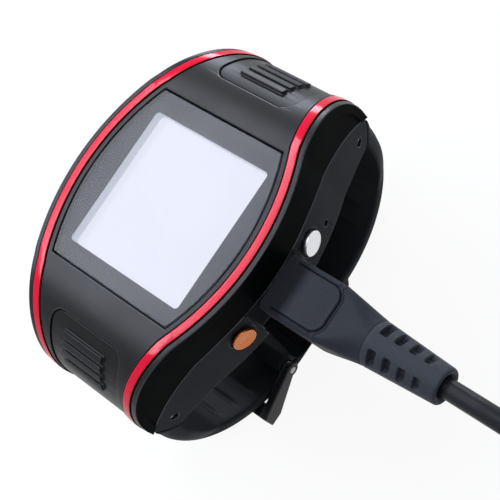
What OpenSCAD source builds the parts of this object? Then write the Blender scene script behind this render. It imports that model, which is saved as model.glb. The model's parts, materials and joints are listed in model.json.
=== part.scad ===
// Wrist GPS watch with a tonneau case, red side trims and a buckled rubber strap, on its charging lead.
// +Z is out of the display, +Y towards 12 o'clock, +X towards the buttons.
// The watch stands on its clasp: z = 0 is the surface under the keepers and the buckle.

/* [Case] */
// Height of the lens face above the surface that the watch stands on
stand_h = 53.4; // [51:0.1:60]
// Width of the case across the middle
case_w = 45.4; // [43:0.1:50]
// Length of the case from 12 to 6 o'clock
case_l = 69.8; // [69.4:0.1:72]
// Width of the case at its ends
end_w = 25.6; // [25:0.1:27]
// Radius of the bowed sides
side_r = 46; // [42:0.5:56]
// Distance from the middle at which the bowed sides give way to straight ends
flare_y = 20; // [18:0.1:21]
// Radius of the ends where the front rolls down
nose_r = 17.3; // [16:0.1:17.4]
// Height of the rim that overhangs the flank
rim_h = 1.8; // [1.2:0.1:2.4]
// Set-back of the flank below the rim
flank_in = 0.4; // [0.3:0.05:0.6]
// Depth of the front bezel, lens face to parting line
front_h = 8; // [7:0.1:8.2]
// Distance from the middle at which the parting line starts to bend down
part_y = 9; // [8:0.5:11]
// Radius of that bend towards the lugs
part_r = 35; // [34:0.5:40]
// Set-back of the mid case below the rim
mid_in = 0.3; // [0.2:0.05:0.6]
// Wall of the mid case and the bezel
wall = 2.0; // [1.6:0.1:2.4]
// Thickness of the case in the middle, lens face to wrist
case_t = 17.8; // [17.2:0.1:20]
// Radius of the hollow that fits the wrist
wrist_r = 94; // [80:1:120]
// Thickness of the bezel's top under the lens pocket
top_t = 1.5; // [1.2:0.1:1.6]
// Thickness of the wall at each end of the hollow
end_wall = 2.1; // [1.8:0.1:2.4]

/* [Lens and display] */
// Length of the lens from 12 to 6 o'clock
lens_l = 35.4; // [34:0.1:37]
// Shift of the lens towards 12 o'clock
lens_dy = 0.25; // [0:0.05:0.5]
// Set-back of the lens sides from the case outline
lens_in = 4.15; // [4:0.05:4.6]
// Gap round the lens
lens_gap = 0.3; // [0.2:0.05:0.4]
// Thickness of the lens
lens_t = 1.0; // [0.8:0.1:1.2]
// Thickness of the printed border under the lens
mask_t = 0.1; // [0.05:0.01:0.15]
// Thickness of the lens gasket
gasket_t = 0.2; // [0.15:0.05:0.3]
// Side of the square display window
window = 28; // [26:0.1:28.5]
// Corner radius of that window
window_r = 0.8; // [0.4:0.1:1.5]
// Depth of the display face below the lens face
display_depth = 3.2; // [3.1:0.05:3.5]
// Wall of the pale frame round the window
frame_wall = 1.0; // [0.7:0.1:1.1]
// Thickness of the frame's flange
flange_t = 0.3; // [0.2:0.05:0.35]
// Side of the square display module
display_w = 33; // [31.5:0.1:33.5]
// Thickness of the display module
display_t = 1.8; // [1.4:0.1:2.0]

/* [Trim] */
// Set-back of the red trims from the rim
trim_in = 1.15; // [1:0.05:1.2]
// Width of the red trims
trim_w = 1.6; // [1.4:0.05:1.65]
// Gap on each side of the red trims
trim_gap = 0.2; // [0.1:0.05:0.25]
// Depth of the trim grooves
trim_t = 1.0; // [0.8:0.1:1.2]
// Height of the trims above the front
trim_proud = 0.15; // [0:0.05:0.3]

/* [End pads] */
// Width of the ribbed end pads
pad_w = 18; // [15:0.1:19]
// Distance of the pads' inner edge from the middle
pad_y = 25.2; // [24:0.1:26]
// Thickness of the end pads
pad_t = 1.0; // [0.8:0.1:1.2]
// Length of a rib
rib_l = 10.4; // [8:0.1:13]
// Width of a rib
rib_w = 1.4; // [1.0:0.1:1.5]
// Depth of the pads below the front
pad_sink = 0.3; // [0.1:0.05:0.4]
// Corner radius of the pads
pad_r = 2.6; // [1:0.1:4]
// Height of a rib
rib_h = 0.6; // [0.3:0.1:0.8]
// Angle of the first rib round the end
rib_first = 39; // [37:1:41]
// Angle between ribs
rib_step = 7.2; // [6.5:0.1:7.6]
// Number of ribs on each pad
rib_n = 4; // [2:1:4]

/* [Buttons] */
// Diameter of the button caps
button_d = 4.8; // [4:0.1:5.2]
// Height of a cap above the side wall
button_proud = 0.8; // [0.75:0.05:1.1]
// Travel of a button
button_travel = 0.6; // [0.4:0.05:0.7]
// Depth of the round recess under a cap
button_recess = 0.6; // [0.4:0.1:0.8]
// Diameter of a button stem
stem_d = 2.0; // [1.6:0.1:2.4]
// Distance of the silver button from the middle
silver_y = 8.7; // [8.4:0.1:9.5]
// Distance of the copper button from the middle
copper_y = -11.4; // [-12:0.1:-11.2]
// Depth of the buttons below the lens face
button_z = 12.4; // [12.2:0.1:12.5]
// Diameter of the clip that holds a button in
clip_d = 2.8; // [2.6:0.1:3.2]
// Thickness of that clip
clip_t = 0.4; // [0.3:0.05:0.5]
// Diameter of a seal's cord
seal_d = 0.6; // [0.4:0.05:0.7]
// Length of a tact switch into the case
switch_l = 2.6; // [2:0.1:3]
// Width of a tact switch
switch_w = 4; // [3:0.1:4.4]
// Height of a tact switch
switch_h = 4.0; // [3.9:0.1:4.4]

/* [Charging port] */
// Distance of the port from the middle
port_y = -0.3; // [-0.6:0.1:0.2]
// Width of the receptacle
port_w = 7.6; // [7.5:0.1:8]
// Height of the receptacle
port_h = 2.6; // [2.5:0.05:2.8]
// Length of the receptacle
port_l = 5.6; // [5:0.1:6]
// Sheet thickness of the receptacle
port_t = 0.3; // [0.25:0.05:0.35]
// Thickness of the contact tongue in the receptacle
port_tongue_t = 0.5; // [0.4:0.05:0.6]
// Length of the receptacle's tongue
port_tongue_l = 4.5; // [4:0.1:5]
// Set-back of the receptacle's mouth from the side wall
port_set = 1.2; // [1:0.1:1.6]
// Width of the flap
flap_w = 13.2; // [12.6:0.1:13.4]
// Length of the flap from its hinge
flap_l = 8.2; // [7:0.1:8.3]
// Thickness of the flap
flap_t = 1.1; // [0.9:0.1:1.3]
// Height of the sealing lip on the flap
lip_h = 1.2; // [0.8:0.1:1.3]
// Distance of the flap's middle from the case's middle
flap_y = -1.3; // [-1.4:0.1:-1.1]
// Turn of the flap towards 6 o'clock
flap_skew = 6; // [0:1:7]
// Extra width of the flap's free end
flap_flare = 1.2; // [0:0.1:2]
// Angle of the open flap below level
flap_open = 45; // [40:1:50]
// Diameter of the flap's rubber hinge
flap_hinge_d = 1.2; // [1:0.1:1.4]
// Depth of the recess that the flap closes into
flap_recess = 1.2; // [1:0.1:1.3]
// Height of the hinge above the wrist edge of the case
flap_hinge_up = 1.2; // [1:0.1:1.6]

/* [Strap] */
// Width of the strap
strap_w = 24; // [22:0.1:24.4]
// Thickness of the strap
strap_t = 2.2; // [1.8:0.1:2.4]
// Distance of the strap's outer face from the middle
reach_y = 34.5; // [34:0.1:37]
// Outer radius of the strap half at 12 o'clock
bend_r = 25; // [22:0.5:26]
// Distance of the spring bars from the middle
pin_y = 30; // [29.6:0.1:30.4]
// Depth of the spring bars below the lens face
pin_z = 19.5; // [19.4:0.1:19.8]
// Diameter of the spring bars
pin_d = 1.5; // [1.2:0.1:1.8]
// Depth of the spring bars' ends below the sides of the lugs
pin_sink = 0.6; // [0.3:0.1:0.9]
// Diameter of the strap ends round the spring bars
eye_d = 5.8; // [5:0.1:6]
// Radius of the rounded lug ends
lug_r = 6.6; // [6.2:0.1:6.8]
// Distance of the lug ends' centre behind the spring bars
lug_back = 1.6; // [1.4:0.1:2]
// Distance of the lug ends' centre above the spring bars
lug_up = 3; // [2.6:0.1:3.2]
// Distance of the strap tail's tip past the middle
tail_y = 12; // [11:0.1:14]
// Corner radius of the strap tail
tail_r = 4; // [2:0.1:6]
// Length of an adjusting slot
slot_l = 9; // [8.8:0.1:9.4]
// Width of an adjusting slot
slot_w = 2.8; // [2.7:0.1:3.4]
// Pitch of the adjusting slots
slot_pitch = 10.5; // [10:0.1:12]
// Number of adjusting slots
slot_n = 3; // [1:1:3]

/* [Clasp] */
// Thickness of the keepers
keeper_t = 1.2; // [1:0.1:1.5]
// Length of a keeper along the strap
keeper_l = 5; // [4:0.1:5.4]
// Distance of the free keeper from the fixed one, middle to middle
keeper_pitch = 6.5; // [6.2:0.1:7]
// Distance of the buckle bar from the middle
bar_y = -11; // [-11.4:0.1:-10.6]
// Diameter of the buckle bar
bar_d = 1.5; // [1.2:0.1:1.6]
// Diameter of the strap's eye round the buckle bar
bar_eye_d = 3.6; // [3.2:0.1:3.8]
// Thickness of the buckle's side arms
arm_t = 1.7; // [1.4:0.1:2.2]
// Length of the buckle's front bar along the strap
front_bar_l = 3; // [2.4:0.1:3.2]
// Height of the buckle's front bar
front_bar_h = 3.9; // [3.5:0.1:4]
// Distance of the front bar from the buckle bar
front_bar_gap = 8.5; // [8.3:0.1:9]
// Width of the tongue
tongue_w = 2.2; // [1.8:0.1:2.2]
// Wall of the tongue's knuckle round the buckle bar
knuckle_t = 0.8; // [0.6:0.1:0.9]
// Thickness of the tongue
tongue_t = 1.1; // [0.9:0.1:1.2]
// Length of the tongue from the buckle bar
tongue_l = 12; // [11.5:0.1:12.2]
// Slope of the tongue at rest
tongue_slope = 25.5; // [25:0.5:26]

/* [Charging lead] */
// Width of the micro plug's body
plug_w = 11; // [10:0.1:12]
// Thickness of the micro plug's body
plug_t = 7.5; // [6.5:0.1:7.6]
// Length of the micro plug's body
plug_l = 20.4; // [18:0.1:22]
// Length of the plug's full-width part
plug_flat_l = 12; // [10:0.1:14]
// Distance of the raised panel from the plug's front
panel_start = 2.5; // [2:0.1:3]
// Width of the raised panel on the plug
panel_w = 8.4; // [7:0.1:8.8]
// Height of the raised panel on the plug
panel_h = 0.3; // [0.2:0.05:0.4]
// Gap between the plug body and the case
plug_gap = 0.6; // [0.4:0.1:1]
// Width of the plug's metal shell
shell_w = 6.8; // [6.6:0.05:6.85]
// Height of the plug's metal shell
shell_h = 1.8; // [1.7:0.05:1.85]
// Sheet thickness of the metal shells
shell_t = 0.25; // [0.2:0.05:0.3]
// Length of the plug's metal shell
shell_l = 6.6; // [6:0.1:6.8]
// Diameter of the strain relief at the plug
relief_d1 = 8.5; // [8:0.1:8.6]
// Diameter of the strain relief at the cord
relief_d2 = 6.7; // [6.2:0.1:7]
// Length of the strain relief
relief_l = 14.2; // [12:0.1:15]
// Thickness of the bars between the windows
relief_bar = 3; // [2.4:0.1:3.4]
// Wall of the strain relief under the windows
relief_wall = 0.9; // [0.7:0.1:1]
// Number of rows of windows in the strain relief
relief_rows = 4; // [2:1:4]
// Length of a window in the strain relief
relief_slot = 1.5; // [1:0.1:1.7]
// Length of the plain collar at the cord's end
relief_collar = 2.4; // [2:0.1:2.8]
// Diameter of the cord
cord_d = 3.6; // [3.2:0.1:3.7]
// Width of the far plug's body
a_w = 15.4; // [14:0.1:17]
// Thickness of the far plug's body
a_t = 7.6; // [7:0.1:8]
// Length of the far plug's body
a_l = 24; // [20:0.5:28]
// Length of the far plug's tapered neck
a_neck_l = 6; // [4:0.5:8]
// Width of the far plug's metal shell
a_shell_w = 12; // [11.8:0.1:12.2]
// Height of the far plug's metal shell
a_shell_h = 4.5; // [4.4:0.1:4.6]
// Length of the far plug's metal shell
a_shell_l = 18.7; // [17:0.1:19]
// Thickness of the coil's tie
tie_t = 0.8; // [0.6:0.1:0.8]
// Width of the coil's tie
tie_w = 8; // [5:0.5:10]

/* [Inside] */
// Thickness of the back cover in the middle
cover_t = 1.2; // [1:0.1:1.4]
// Thickness of the back gasket
back_gasket_t = 0.4; // [0.3:0.05:0.5]
// Width of the ledge that the back gasket lies on
ledge = 0.9; // [0.7:0.05:1]
// Thickness of the main board
pcb_t = 0.8; // [0.6:0.1:1]
// Depth of the main board's top below the lens face
pcb_z = 8.8; // [8.7:0.1:9]
// Distance of the screws from the middle, along X
boss_x = 12.4; // [12:0.1:12.6]
// Diameter of the screw bosses
boss_d = 4.6; // [4.2:0.1:4.8]
// Diameter of the screw shanks
screw_d = 1.4; // [1.2:0.1:1.6]
// Diameter of the screw heads
head_d = 2.8; // [2.4:0.1:3]
// Height of the screw heads
head_h = 0.9; // [0.7:0.1:1]
// Length of the screw shanks
screw_l = 6; // [5:0.1:6.4]
// Size of the battery along X
battery_x = 26; // [22:0.5:27]
// Size of the battery along Y
battery_y = 28; // [24:0.5:28]
// Thickness of the battery
battery_t = 4.8; // [4:0.1:5]
// Size of the shield can along X
can_x = 20; // [14:0.5:24]
// Size of the shield can along Y
can_y = 16; // [12:0.5:24]
// Height of the shield can
can_h = 1.8; // [1.2:0.1:2.4]
// Length of the antennas along X
antenna_x = 16; // [12:0.5:18]
// Width of the antennas along Y
antenna_y = 5.6; // [4:0.1:6]
// Height of the antennas
antenna_h = 3.8; // [3:0.1:4.4]
// Diameter of the vibration motor
motor_d = 8; // [7:0.1:8.6]
// Thickness of the vibration motor
motor_t = 2.7; // [2:0.1:3]
// Size of the speaker along X
speaker_x = 15; // [12:0.5:16]
// Size of the speaker along Y
speaker_y = 7.6; // [6:0.1:8]
// Thickness of the speaker
speaker_t = 3.5; // [3:0.1:4]
// Length of the sound slots in the back cover
vent_l = 7.5; // [6:0.1:8]
// Width of the sound slots
vent_w = 1; // [0.8:0.1:1.2]
// Spacing of the sound slots
vent_pitch = 1.9; // [1.7:0.1:2]
// Diameter of the microphone
mic_d = 1.9; // [1.6:0.1:2]
// Length of the microphone
mic_l = 1.6; // [1.2:0.1:2]
// Diameter of the microphone's sound hole
mic_hole_d = 1.2; // [0.8:0.1:1.3]
// Distance of the microphone from the middle
mic_y = 13.5; // [13:0.1:14]
// Width of the display flex
flex_w = 12; // [8:0.5:16]
// Thickness of the display flex
flex_t = 0.3; // [0.2:0.05:0.4]

/* [Fits] */
// Clearance round pieces that are fixed
seat = 0.1; // [0.05:0.01:0.15]
// Radial clearance of pins and stems
run = 0.05; // [0.02:0.01:0.09]
// Clearance between soft or moving pieces
loose = 0.3; // [0.25:0.01:0.35]

/* [Hidden] */
$fn = 180;

// Past everything, for cuts that go right through
far = 200;
// Overshoot of a cut past the face that it opens
over = 1;
// Centre of the bowed sides
arc_x = side_r - case_w / 2;
// Reach of the outline drawing, past the ends and the lugs
plan_y = case_l / 2 + over;
// Half the length of the flat front
flat_y = case_l / 2 - nose_r;
// End of the hollow inside the case, and start of the lug notch
notch_y = pin_y - eye_d / 2 - loose;
cavity_y = notch_y - end_wall;
inner_y = cavity_y - ledge;
// Distance of the screws from the middle, along Y, with the bosses inside the ledge
boss_y = inner_y - boss_d / 2 - seat;
// Depths below the lens face
pocket_depth = lens_t + mask_t + gasket_t;
cover_depth = case_t - cover_t;
ledge_depth = cover_depth - back_gasket_t;
pcb_bottom = pcb_z + pcb_t;
// Depth that the bezel reaches at the ends of the case
skirt_depth = front_h + part_r - sqrt(part_r * part_r - pow(case_l / 2 - part_y, 2));
port_z = pcb_bottom + port_h / 2;
mic_z = ledge_depth - mic_hole_d / 2 - seat;
// Inner outline of the bezel and of the mid case
bezel_inner = flank_in + wall;
ledge_in = mid_in + wall + ledge;
cover_in = mid_in + wall;
// Overlap of the straight ends into the bowed middle of the outline
flare_lap = 2;
// Angle between the straight ends and the case's middle line
flare_angle = atan((arc_half(0, flare_y) - end_w / 2) / (case_l / 2 - flare_y));
// Levels of the strap's layers above the surface
tail_z = keeper_t + loose;
under_z = tail_z + strap_t + loose;
keeper_top = under_z + strap_t + loose + keeper_t;
// Centres of the strap's bends, and the outer radius of the half at 6 o'clock
bend_y = reach_y - bend_r;
bend_z = under_z + bend_r;
tail_bend_r = bend_z - tail_z;
tail_bend_y = reach_y - tail_bend_r;
// The buckle bar lies level with the upper part of the strap
bar_z = under_z + bar_eye_d / 2 + loose;
front_bar_y = bar_y - front_bar_gap;
arm_x = strap_w / 2 + loose;
pin_h = stand_h - pin_z;

// Half width of the bowed outline at a distance from the middle
function arc_half(inset, y) = sqrt(pow(side_r - inset, 2) - y * y) - arc_x;
// Rise of the wrist hollow at a distance from the middle
function wrist_drop(y) = wrist_r - sqrt(wrist_r * wrist_r - y * y);
// Outer face of the mid case beside a button or the port
function wall_x(y) = arc_half(mid_in, y);

// Cord: a straight run out of the strain relief, then sideways and down to the surface in a loose S
cord_route = [
    [57.6, -0.3, 42.5], [62, -0.3, 42.5], [66.3, -0.3, 42.5], [70.5, -0.3, 41.8], [74.5, -0.5, 40.2],
    [78.1, -1.3, 38], [81.4, -2.5, 35.6], [84.5, -4, 33], [87.4, -5.7, 30.3], [90.2, -7.6, 27.5],
    [92.9, -9.5, 24.8], [95.6, -11.6, 22.1], [98.2, -13.7, 19.4], [100.9, -15.8, 16.7], [103.6, -18, 14.1],
    [106.3, -20.2, 11.6], [109.2, -22.3, 9.2], [112.2, -24.5, 7], [115.5, -26.6, 5.1], [119, -28.6, 3.6],
    [122.9, -30.2, 2.9], [127.1, -31.3, 2.8], [131.4, -31.5, 2.8], [135.7, -31.5, 2.8], [140, -31.5, 2.8]
];
// Coil: two layers, spiralling in below and out above, all one way round
coil_mid = [140, -2.9];
coil_r = 28.6;
coil_pitch = 4.7;
coil_lift = 4.5;
coil_z = 2.8;
coil_in = 3;
coil_climb = 0.5;
coil_out = 3;
coil_rings = 24;
coil_turns = coil_in + coil_climb + coil_out;
// The end of the cord runs off the coil and down to the far plug, which lies beside it
coil_end = [[136.3, 25.7, 6.9], [131.5, 25.7, 5.5], [126.7, 25.7, 4.2], [122, 25.7, 3.8]];
far_at = coil_end[len(coil_end) - 1];
// The tie goes round all turns on the side of the coil that faces the watch
tie_x0 = coil_radius(coil_turns - 0.75) + cord_d / 2 + loose;
tie_x1 = coil_radius(coil_in - 0.25) - cord_d / 2 - 2 * loose - tie_t / 2;
tie_top = coil_z + coil_lift + cord_d / 2 + loose;

// Radius and height of the coil after a number of turns
function coil_radius(t) =
    t < coil_in ? coil_r - coil_pitch * t :
    t < coil_in + coil_climb ? coil_r - coil_pitch * coil_in :
    coil_r + coil_pitch * (t - 2 * coil_in - coil_climb);
function ease(u) = (1 - cos(180 * min(1, max(0, u)))) / 2;
function coil_height(t) = coil_z + coil_lift * ease((t - coil_in) / coil_climb);
function coil_point(t) = [
    coil_mid[0] + coil_radius(t) * cos(360 * t - 90),
    coil_mid[1] + coil_radius(t) * sin(360 * t - 90),
    coil_height(t)
];
coil_path = concat(
    [for (i = [0 : coil_turns * coil_rings]) coil_point(i / coil_rings)],
    coil_end
);

// Sweep of a round tube along points, with its end faces square to the end directions
function unit(v) = v / norm(v);
function heading(p, i, first, last) =
    i == 0 ? first :
    i == len(p) - 1 ? last :
    unit(unit(p[i + 1] - p[i]) + unit(p[i] - p[i - 1]));
function ring(c, dir, r, sides) =
    let (side = unit(cross([0, 0, 1], dir)), up = cross(dir, side))
    [for (k = [0 : sides - 1]) c + r * (cos(360 * k / sides) * side + sin(360 * k / sides) * up)];
module tube(p, d, sides, first, last) {
    n = len(p);
    points = [for (i = [0 : n - 1]) each ring(p[i], heading(p, i, first, last), d / 2, sides)];
    walls = [
        for (i = [0 : n - 2], k = [0 : sides - 1])
            let (a = i * sides + k, b = i * sides + (k + 1) % sides)
            each [[a, a + sides, b], [b, a + sides, b + sides]]
    ];
    caps = [
        for (k = [1 : sides - 2]) each [
            [0, k, k + 1],
            [(n - 1) * sides, (n - 1) * sides + k + 1, (n - 1) * sides + k]
        ]
    ];
    polyhedron(points, concat(walls, caps));
}
// Least gap of the coil to itself, between points at least half a turn apart
coil_gap = min([
    for (i = [0 : len(coil_path) - 1], j = [i + coil_rings / 2 : 1 : len(coil_path) - 1])
        norm(coil_path[j] - coil_path[i])
]) - cord_d;
function path_length(p) = sum_of([for (i = [1 : len(p) - 1]) norm(p[i] - p[i - 1])]);
function sum_of(v) = [for (x = v) 1] * v;
echo(coil_gap = coil_gap, cord_length = path_length(cord_route) + path_length(coil_path));

// Solid along X from a drawing in (y, z), centred on x = 0
module along_x(w) {
    rotate([90, 0, 90]) linear_extrude(w, center = true) children();
}

// Outline of the case from the front, drawn in evenly by an inset
module plan(inset) {
    side_x = arc_half(inset, flare_y);
    lap_x = side_x + flare_lap * tan(flare_angle);
    tip_x = side_x - (plan_y - flare_y) * tan(flare_angle);
    intersection() {
        translate([-arc_x, 0]) circle(side_r - inset);
        translate([arc_x, 0]) circle(side_r - inset);
        square([case_w, 2 * flare_y + strap_t], center = true);
    }
    for (turn = [0, 180])
        rotate(turn) polygon([
            [-lap_x, flare_y - flare_lap], [lap_x, flare_y - flare_lap], [tip_x, plan_y], [-tip_x, plan_y]
        ]);
}

// Slab of that outline between two depths below the lens face
module slab(inset, top, bottom) {
    translate([0, 0, stand_h - bottom]) linear_extrude(bottom - top) plan(inset);
}

// Slab that stops at a distance from the middle
module room(inset, end_y, top, bottom) {
    intersection() {
        slab(inset, top, bottom);
        translate([0, 0, stand_h]) cube([far, 2 * end_y, far], center = true);
    }
}

// Outline of the case from the side, drawn in evenly by an inset
module profile(inset) {
    end = flat_y + nose_r - inset;
    translate([-flat_y, 0]) square([2 * flat_y, stand_h - inset]);
    for (s = [-1, 1])
        translate([s * flat_y, stand_h - nose_r]) circle(nose_r - inset);
    translate([-end, 0]) square([2 * end, stand_h - nose_r]);
}

// Everything below the parting line of bezel and mid case
module below_parting() {
    level = stand_h - front_h;
    translate([-part_y, 0]) square([2 * part_y, level]);
    translate([-far, 0]) square([2 * far, level - part_r]);
    for (s = [-1, 1])
        translate([s * part_y, level - part_r]) circle(part_r);
}

// Skin of the rolled front between two depths, above the parting line
module front_skin(outer, inner) {
    along_x(far) difference() {
        profile(outer);
        profile(inner);
        below_parting();
    }
}

// Box about an axis along Z, from a low corner to a high corner
module span(low, high) {
    translate(low) cube(high - low);
}

module round_rect(w, l, r) {
    square([w - 2 * r, l], center = true);
    square([w, l - 2 * r], center = true);
    for (x = [-1, 1], y = [-1, 1])
        translate([x * (w / 2 - r), y * (l / 2 - r)]) circle(r);
}

// Rod along X between two places
module rod(x0, x1, d, y, z) {
    translate([x0, y, z]) rotate([0, 90, 0]) cylinder(d = d, h = x1 - x0);
}

// Lens outline, grown or shrunk by a clearance
module lens_slab(grow, top, bottom) {
    intersection() {
        slab(lens_in - grow, top, bottom);
        translate([0, lens_dy, stand_h]) cube([far, lens_l + 2 * grow, far], center = true);
    }
}

module square_tower(w, top, bottom) {
    translate([-w / 2, -w / 2, stand_h - bottom]) cube([w, w, bottom - top]);
}

module window_hole(bottom) {
    translate([0, 0, stand_h - bottom]) linear_extrude(bottom) round_rect(window, window, window_r);
}

module trim_band(grow, proud) {
    intersection() {
        front_skin(-proud, trim_t);
        difference() {
            slab(trim_in - grow, -1, skirt_depth + over);
            slab(trim_in + trim_w + grow, -1, skirt_depth + over);
        }
    }
}

// Ribbed pad in plan: a band with round corners that runs off the end of the case
module pad_plan(side, grow) {
    pad_l = 2 * (plan_y - pad_y);
    translate([0, side * plan_y]) round_rect(pad_w + 2 * grow, pad_l + 2 * grow, pad_r + grow);
}

module pad_band(side, grow, sink) {
    intersection() {
        front_skin(sink, pad_t);
        linear_extrude(far) pad_plan(side, grow);
    }
}

module front_bezel() {
    color("#2b2c30") difference() {
        union() {
            intersection() {
                slab(0, -1, skirt_depth + over);
                front_skin(0, rim_h);
            }
            intersection() {
                slab(flank_in, -1, skirt_depth + over);
                along_x(far) difference() {
                    profile(rim_h / 2);
                    below_parting();
                }
            }
        }
        lens_slab(lens_gap, -1, pocket_depth);
        square_tower(window + 2 * frame_wall + 2 * seat, -over, pocket_depth + top_t + over);
        room(bezel_inner, inner_y, pocket_depth + top_t, skirt_depth + over);
        trim_band(trim_gap, 1);
        for (s = [-1, 1])
            pad_band(s, seat, -1);
    }
}

module lens() {
    color("#c9ced8", 0.4) lens_slab(0, 0, lens_t);
}

module lens_mask() {
    color("#77797f") difference() {
        lens_slab(0, lens_t, lens_t + mask_t);
        window_hole(pocket_depth);
    }
}

module lens_gasket() {
    color("#101010") difference() {
        lens_slab(0, lens_t + mask_t, pocket_depth);
        square_tower(window + 2 * frame_wall + 2 * seat, 0, pocket_depth + over);
    }
}

module display_frame() {
    frame_top = lens_t + mask_t + seat;
    color("#cfd6e0") difference() {
        union() {
            square_tower(window + 2 * frame_wall, frame_top, display_depth);
            square_tower(display_w, display_depth - flange_t, display_depth);
        }
        window_hole(display_depth + over);
    }
}

module display_module() {
    color("#f2f4fb") square_tower(display_w, display_depth, display_depth + display_t);
}

module display_flex() {
    flex_top = stand_h - display_depth - display_t;
    color("#b5702a")
        span([-flex_w / 2, -display_w / 2, stand_h - pcb_z], [flex_w / 2, flex_t - display_w / 2, flex_top]);
}

module trim_side(side) {
    intersection() {
        trim_band(0, trim_proud);
        translate([side * far / 2, 0, stand_h]) cube(far, center = true);
    }
}

module trim_left() {
    color("#c8102e") trim_side(-1);
}

module trim_right() {
    color("#c8102e") trim_side(1);
}

module end_pad(side) {
    color("#303238") {
        pad_band(side, 0, pad_sink);
        for (i = [0 : rib_n - 1])
            translate([0, side * flat_y, stand_h - nose_r])
                rotate([-side * (rib_first + i * rib_step), 0, 0])
                    translate([0, 0, nose_r - pad_sink + rib_h / 2 - pad_t / 4])
                        cube([rib_l, rib_w, rib_h + pad_t / 2], center = true);
    }
}

module end_pad_12() {
    end_pad(1);
}

module end_pad_6() {
    end_pad(-1);
}

// Radii of the bowed side wall's faces, and of the buttons' recess, clip and seal in it
wall_r = side_r - mid_in;
inner_r = side_r - ledge_in;
recess_r = wall_r - button_recess;
clip_r = sqrt(inner_r * inner_r - clip_d * clip_d / 4) - seat - clip_t;
seal_r = (recess_r + inner_r) / 2;

// Frame of a button, with X square to the bowed side
module at_button(y) {
    translate([-arc_x, 0, stand_h - button_z]) rotate([0, 0, asin(y / wall_r)]) children();
}

module button_cut(y) {
    groove_d = stem_d + 2 * run + 2 * seal_d + 2 * seat;
    groove_l = seal_d + 2 * seat;
    at_button(y) {
        rod(recess_r, far, button_d + 2 * loose, 0, 0);
        rod(clip_r, far, stem_d + 2 * run, 0, 0);
        rod(seal_r - groove_l / 2, seal_r + groove_l / 2, groove_d, 0, 0);
    }
}

module button(y) {
    at_button(y) {
        rod(recess_r + button_travel + seat, wall_r + button_proud, button_d, 0, 0);
        rod(clip_r, wall_r + button_proud - seat, stem_d, 0, 0);
        rod(clip_r, clip_r + clip_t, clip_d, 0, 0);
    }
}

module silver_button() {
    color("#d7d9dc") button(silver_y);
}

module copper_button() {
    color("#cf7f4f") button(copper_y);
}

module button_seals() {
    color("#1a1a1a") for (y = [silver_y, copper_y])
        at_button(y) translate([seal_r, 0, 0]) rotate([0, 90, 0])
            rotate_extrude() translate([stem_d / 2 + run + seal_d / 2, 0]) circle(d = seal_d);
}

// The switches hang under the board, behind the buttons
module tact_switches() {
    face = clip_r - button_travel - seat;
    top = button_z - pcb_bottom;
    color("#8d8f93") for (y = [silver_y, copper_y])
        at_button(y)
            span([face - switch_l, -switch_w / 2, top - switch_h], [face, switch_w / 2, top]);
}

// Side view of the mid case, with rounded lug ends
module mid_outline() {
    lug_y = pin_y - lug_back;
    translate([-lug_y, 0]) square([2 * lug_y, stand_h]);
    for (s = [-1, 1])
        translate([s * lug_y, pin_h + lug_up]) circle(lug_r);
}

module wrist_hollow() {
    rod(-far, far, 2 * wrist_r, 0, stand_h - case_t - wrist_r);
}

// Hinge of the port flap: just clear of the recess that the flap closes into
flap_x = wall_x(flap_y) - flap_recess + loose + flap_hinge_d / 2;
flap_z = stand_h - case_t + flap_hinge_up;

module at_flap() {
    translate([flap_x, flap_y, flap_z]) rotate([0, 0, -flap_skew]) children();
}

// Micro port: a slot through the wall for the receptacle
mouth_x = wall_x(port_y) - port_set;
port_level = stand_h - port_z;

module port_cut() {
    span(
        [mouth_x - port_l - far / 20, port_y - port_w / 2 - seat, port_level - port_h / 2 - seat],
        [far, port_y + port_w / 2 + seat, port_level + port_h / 2 + seat]
    );
}

module bosses() {
    for (x = [-boss_x, boss_x], y = [-boss_y, boss_y])
        translate([x, y, stand_h - ledge_depth]) cylinder(d = boss_d, h = ledge_depth - pcb_bottom);
}

module mid_case() {
    color("#3a3f4a") difference() {
        intersection() {
            union() {
                difference() {
                    linear_extrude(stand_h) plan(mid_in);
                    room(ledge_in, inner_y, 0, stand_h);
                }
                intersection() {
                    bosses();
                    linear_extrude(stand_h) plan(mid_in + wall / 2);
                }
            }
            along_x(far) intersection() {
                mid_outline();
                below_parting();
            }
        }
        wrist_hollow();
        room(cover_in, cavity_y, ledge_depth, stand_h);
        for (s = [-1, 1]) {
            translate([0, s * (notch_y + far / 2), 0]) cube([2 * arm_x, far, far], center = true);
            rod(-far, far, pin_d + 2 * run, s * pin_y, pin_h);
        }
        for (x = [-boss_x, boss_x], y = [-boss_y, boss_y])
            translate([x, y, 0]) cylinder(d = screw_d + 2 * run, h = stand_h - pcb_bottom + over);
        button_cut(silver_y);
        button_cut(copper_y);
        port_cut();
        at_flap()
            span(
                [-loose - flap_hinge_d / 2, -flap_w / 2 - loose, -far],
                [far, flap_w / 2 + loose, flap_l + loose]
            );
        rod(0, far, mic_hole_d, mic_y, stand_h - mic_z);
    }
}

module back_cover() {
    color("#26272b") difference() {
        intersection() {
            room(cover_in + seat, cavity_y - seat, cover_depth, stand_h);
            along_x(far) difference() {
                translate([-far, 0]) square([2 * far, stand_h]);
                translate([0, stand_h - case_t - wrist_r]) circle(wrist_r);
            }
        }
        for (x = [-boss_x, boss_x], y = [-boss_y, boss_y])
            translate([x, y, 0]) {
                cylinder(d = screw_d + 2 * run, h = stand_h);
                cylinder(d = head_d + 2 * seat, h = stand_h - cover_depth - cover_t);
            }
        for (i = [-1 : 1])
            translate([-vent_l / 2, boss_y - speaker_y / 2 + i * vent_pitch, 0])
                cube([vent_l, vent_w, stand_h]);
    }
}

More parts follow.
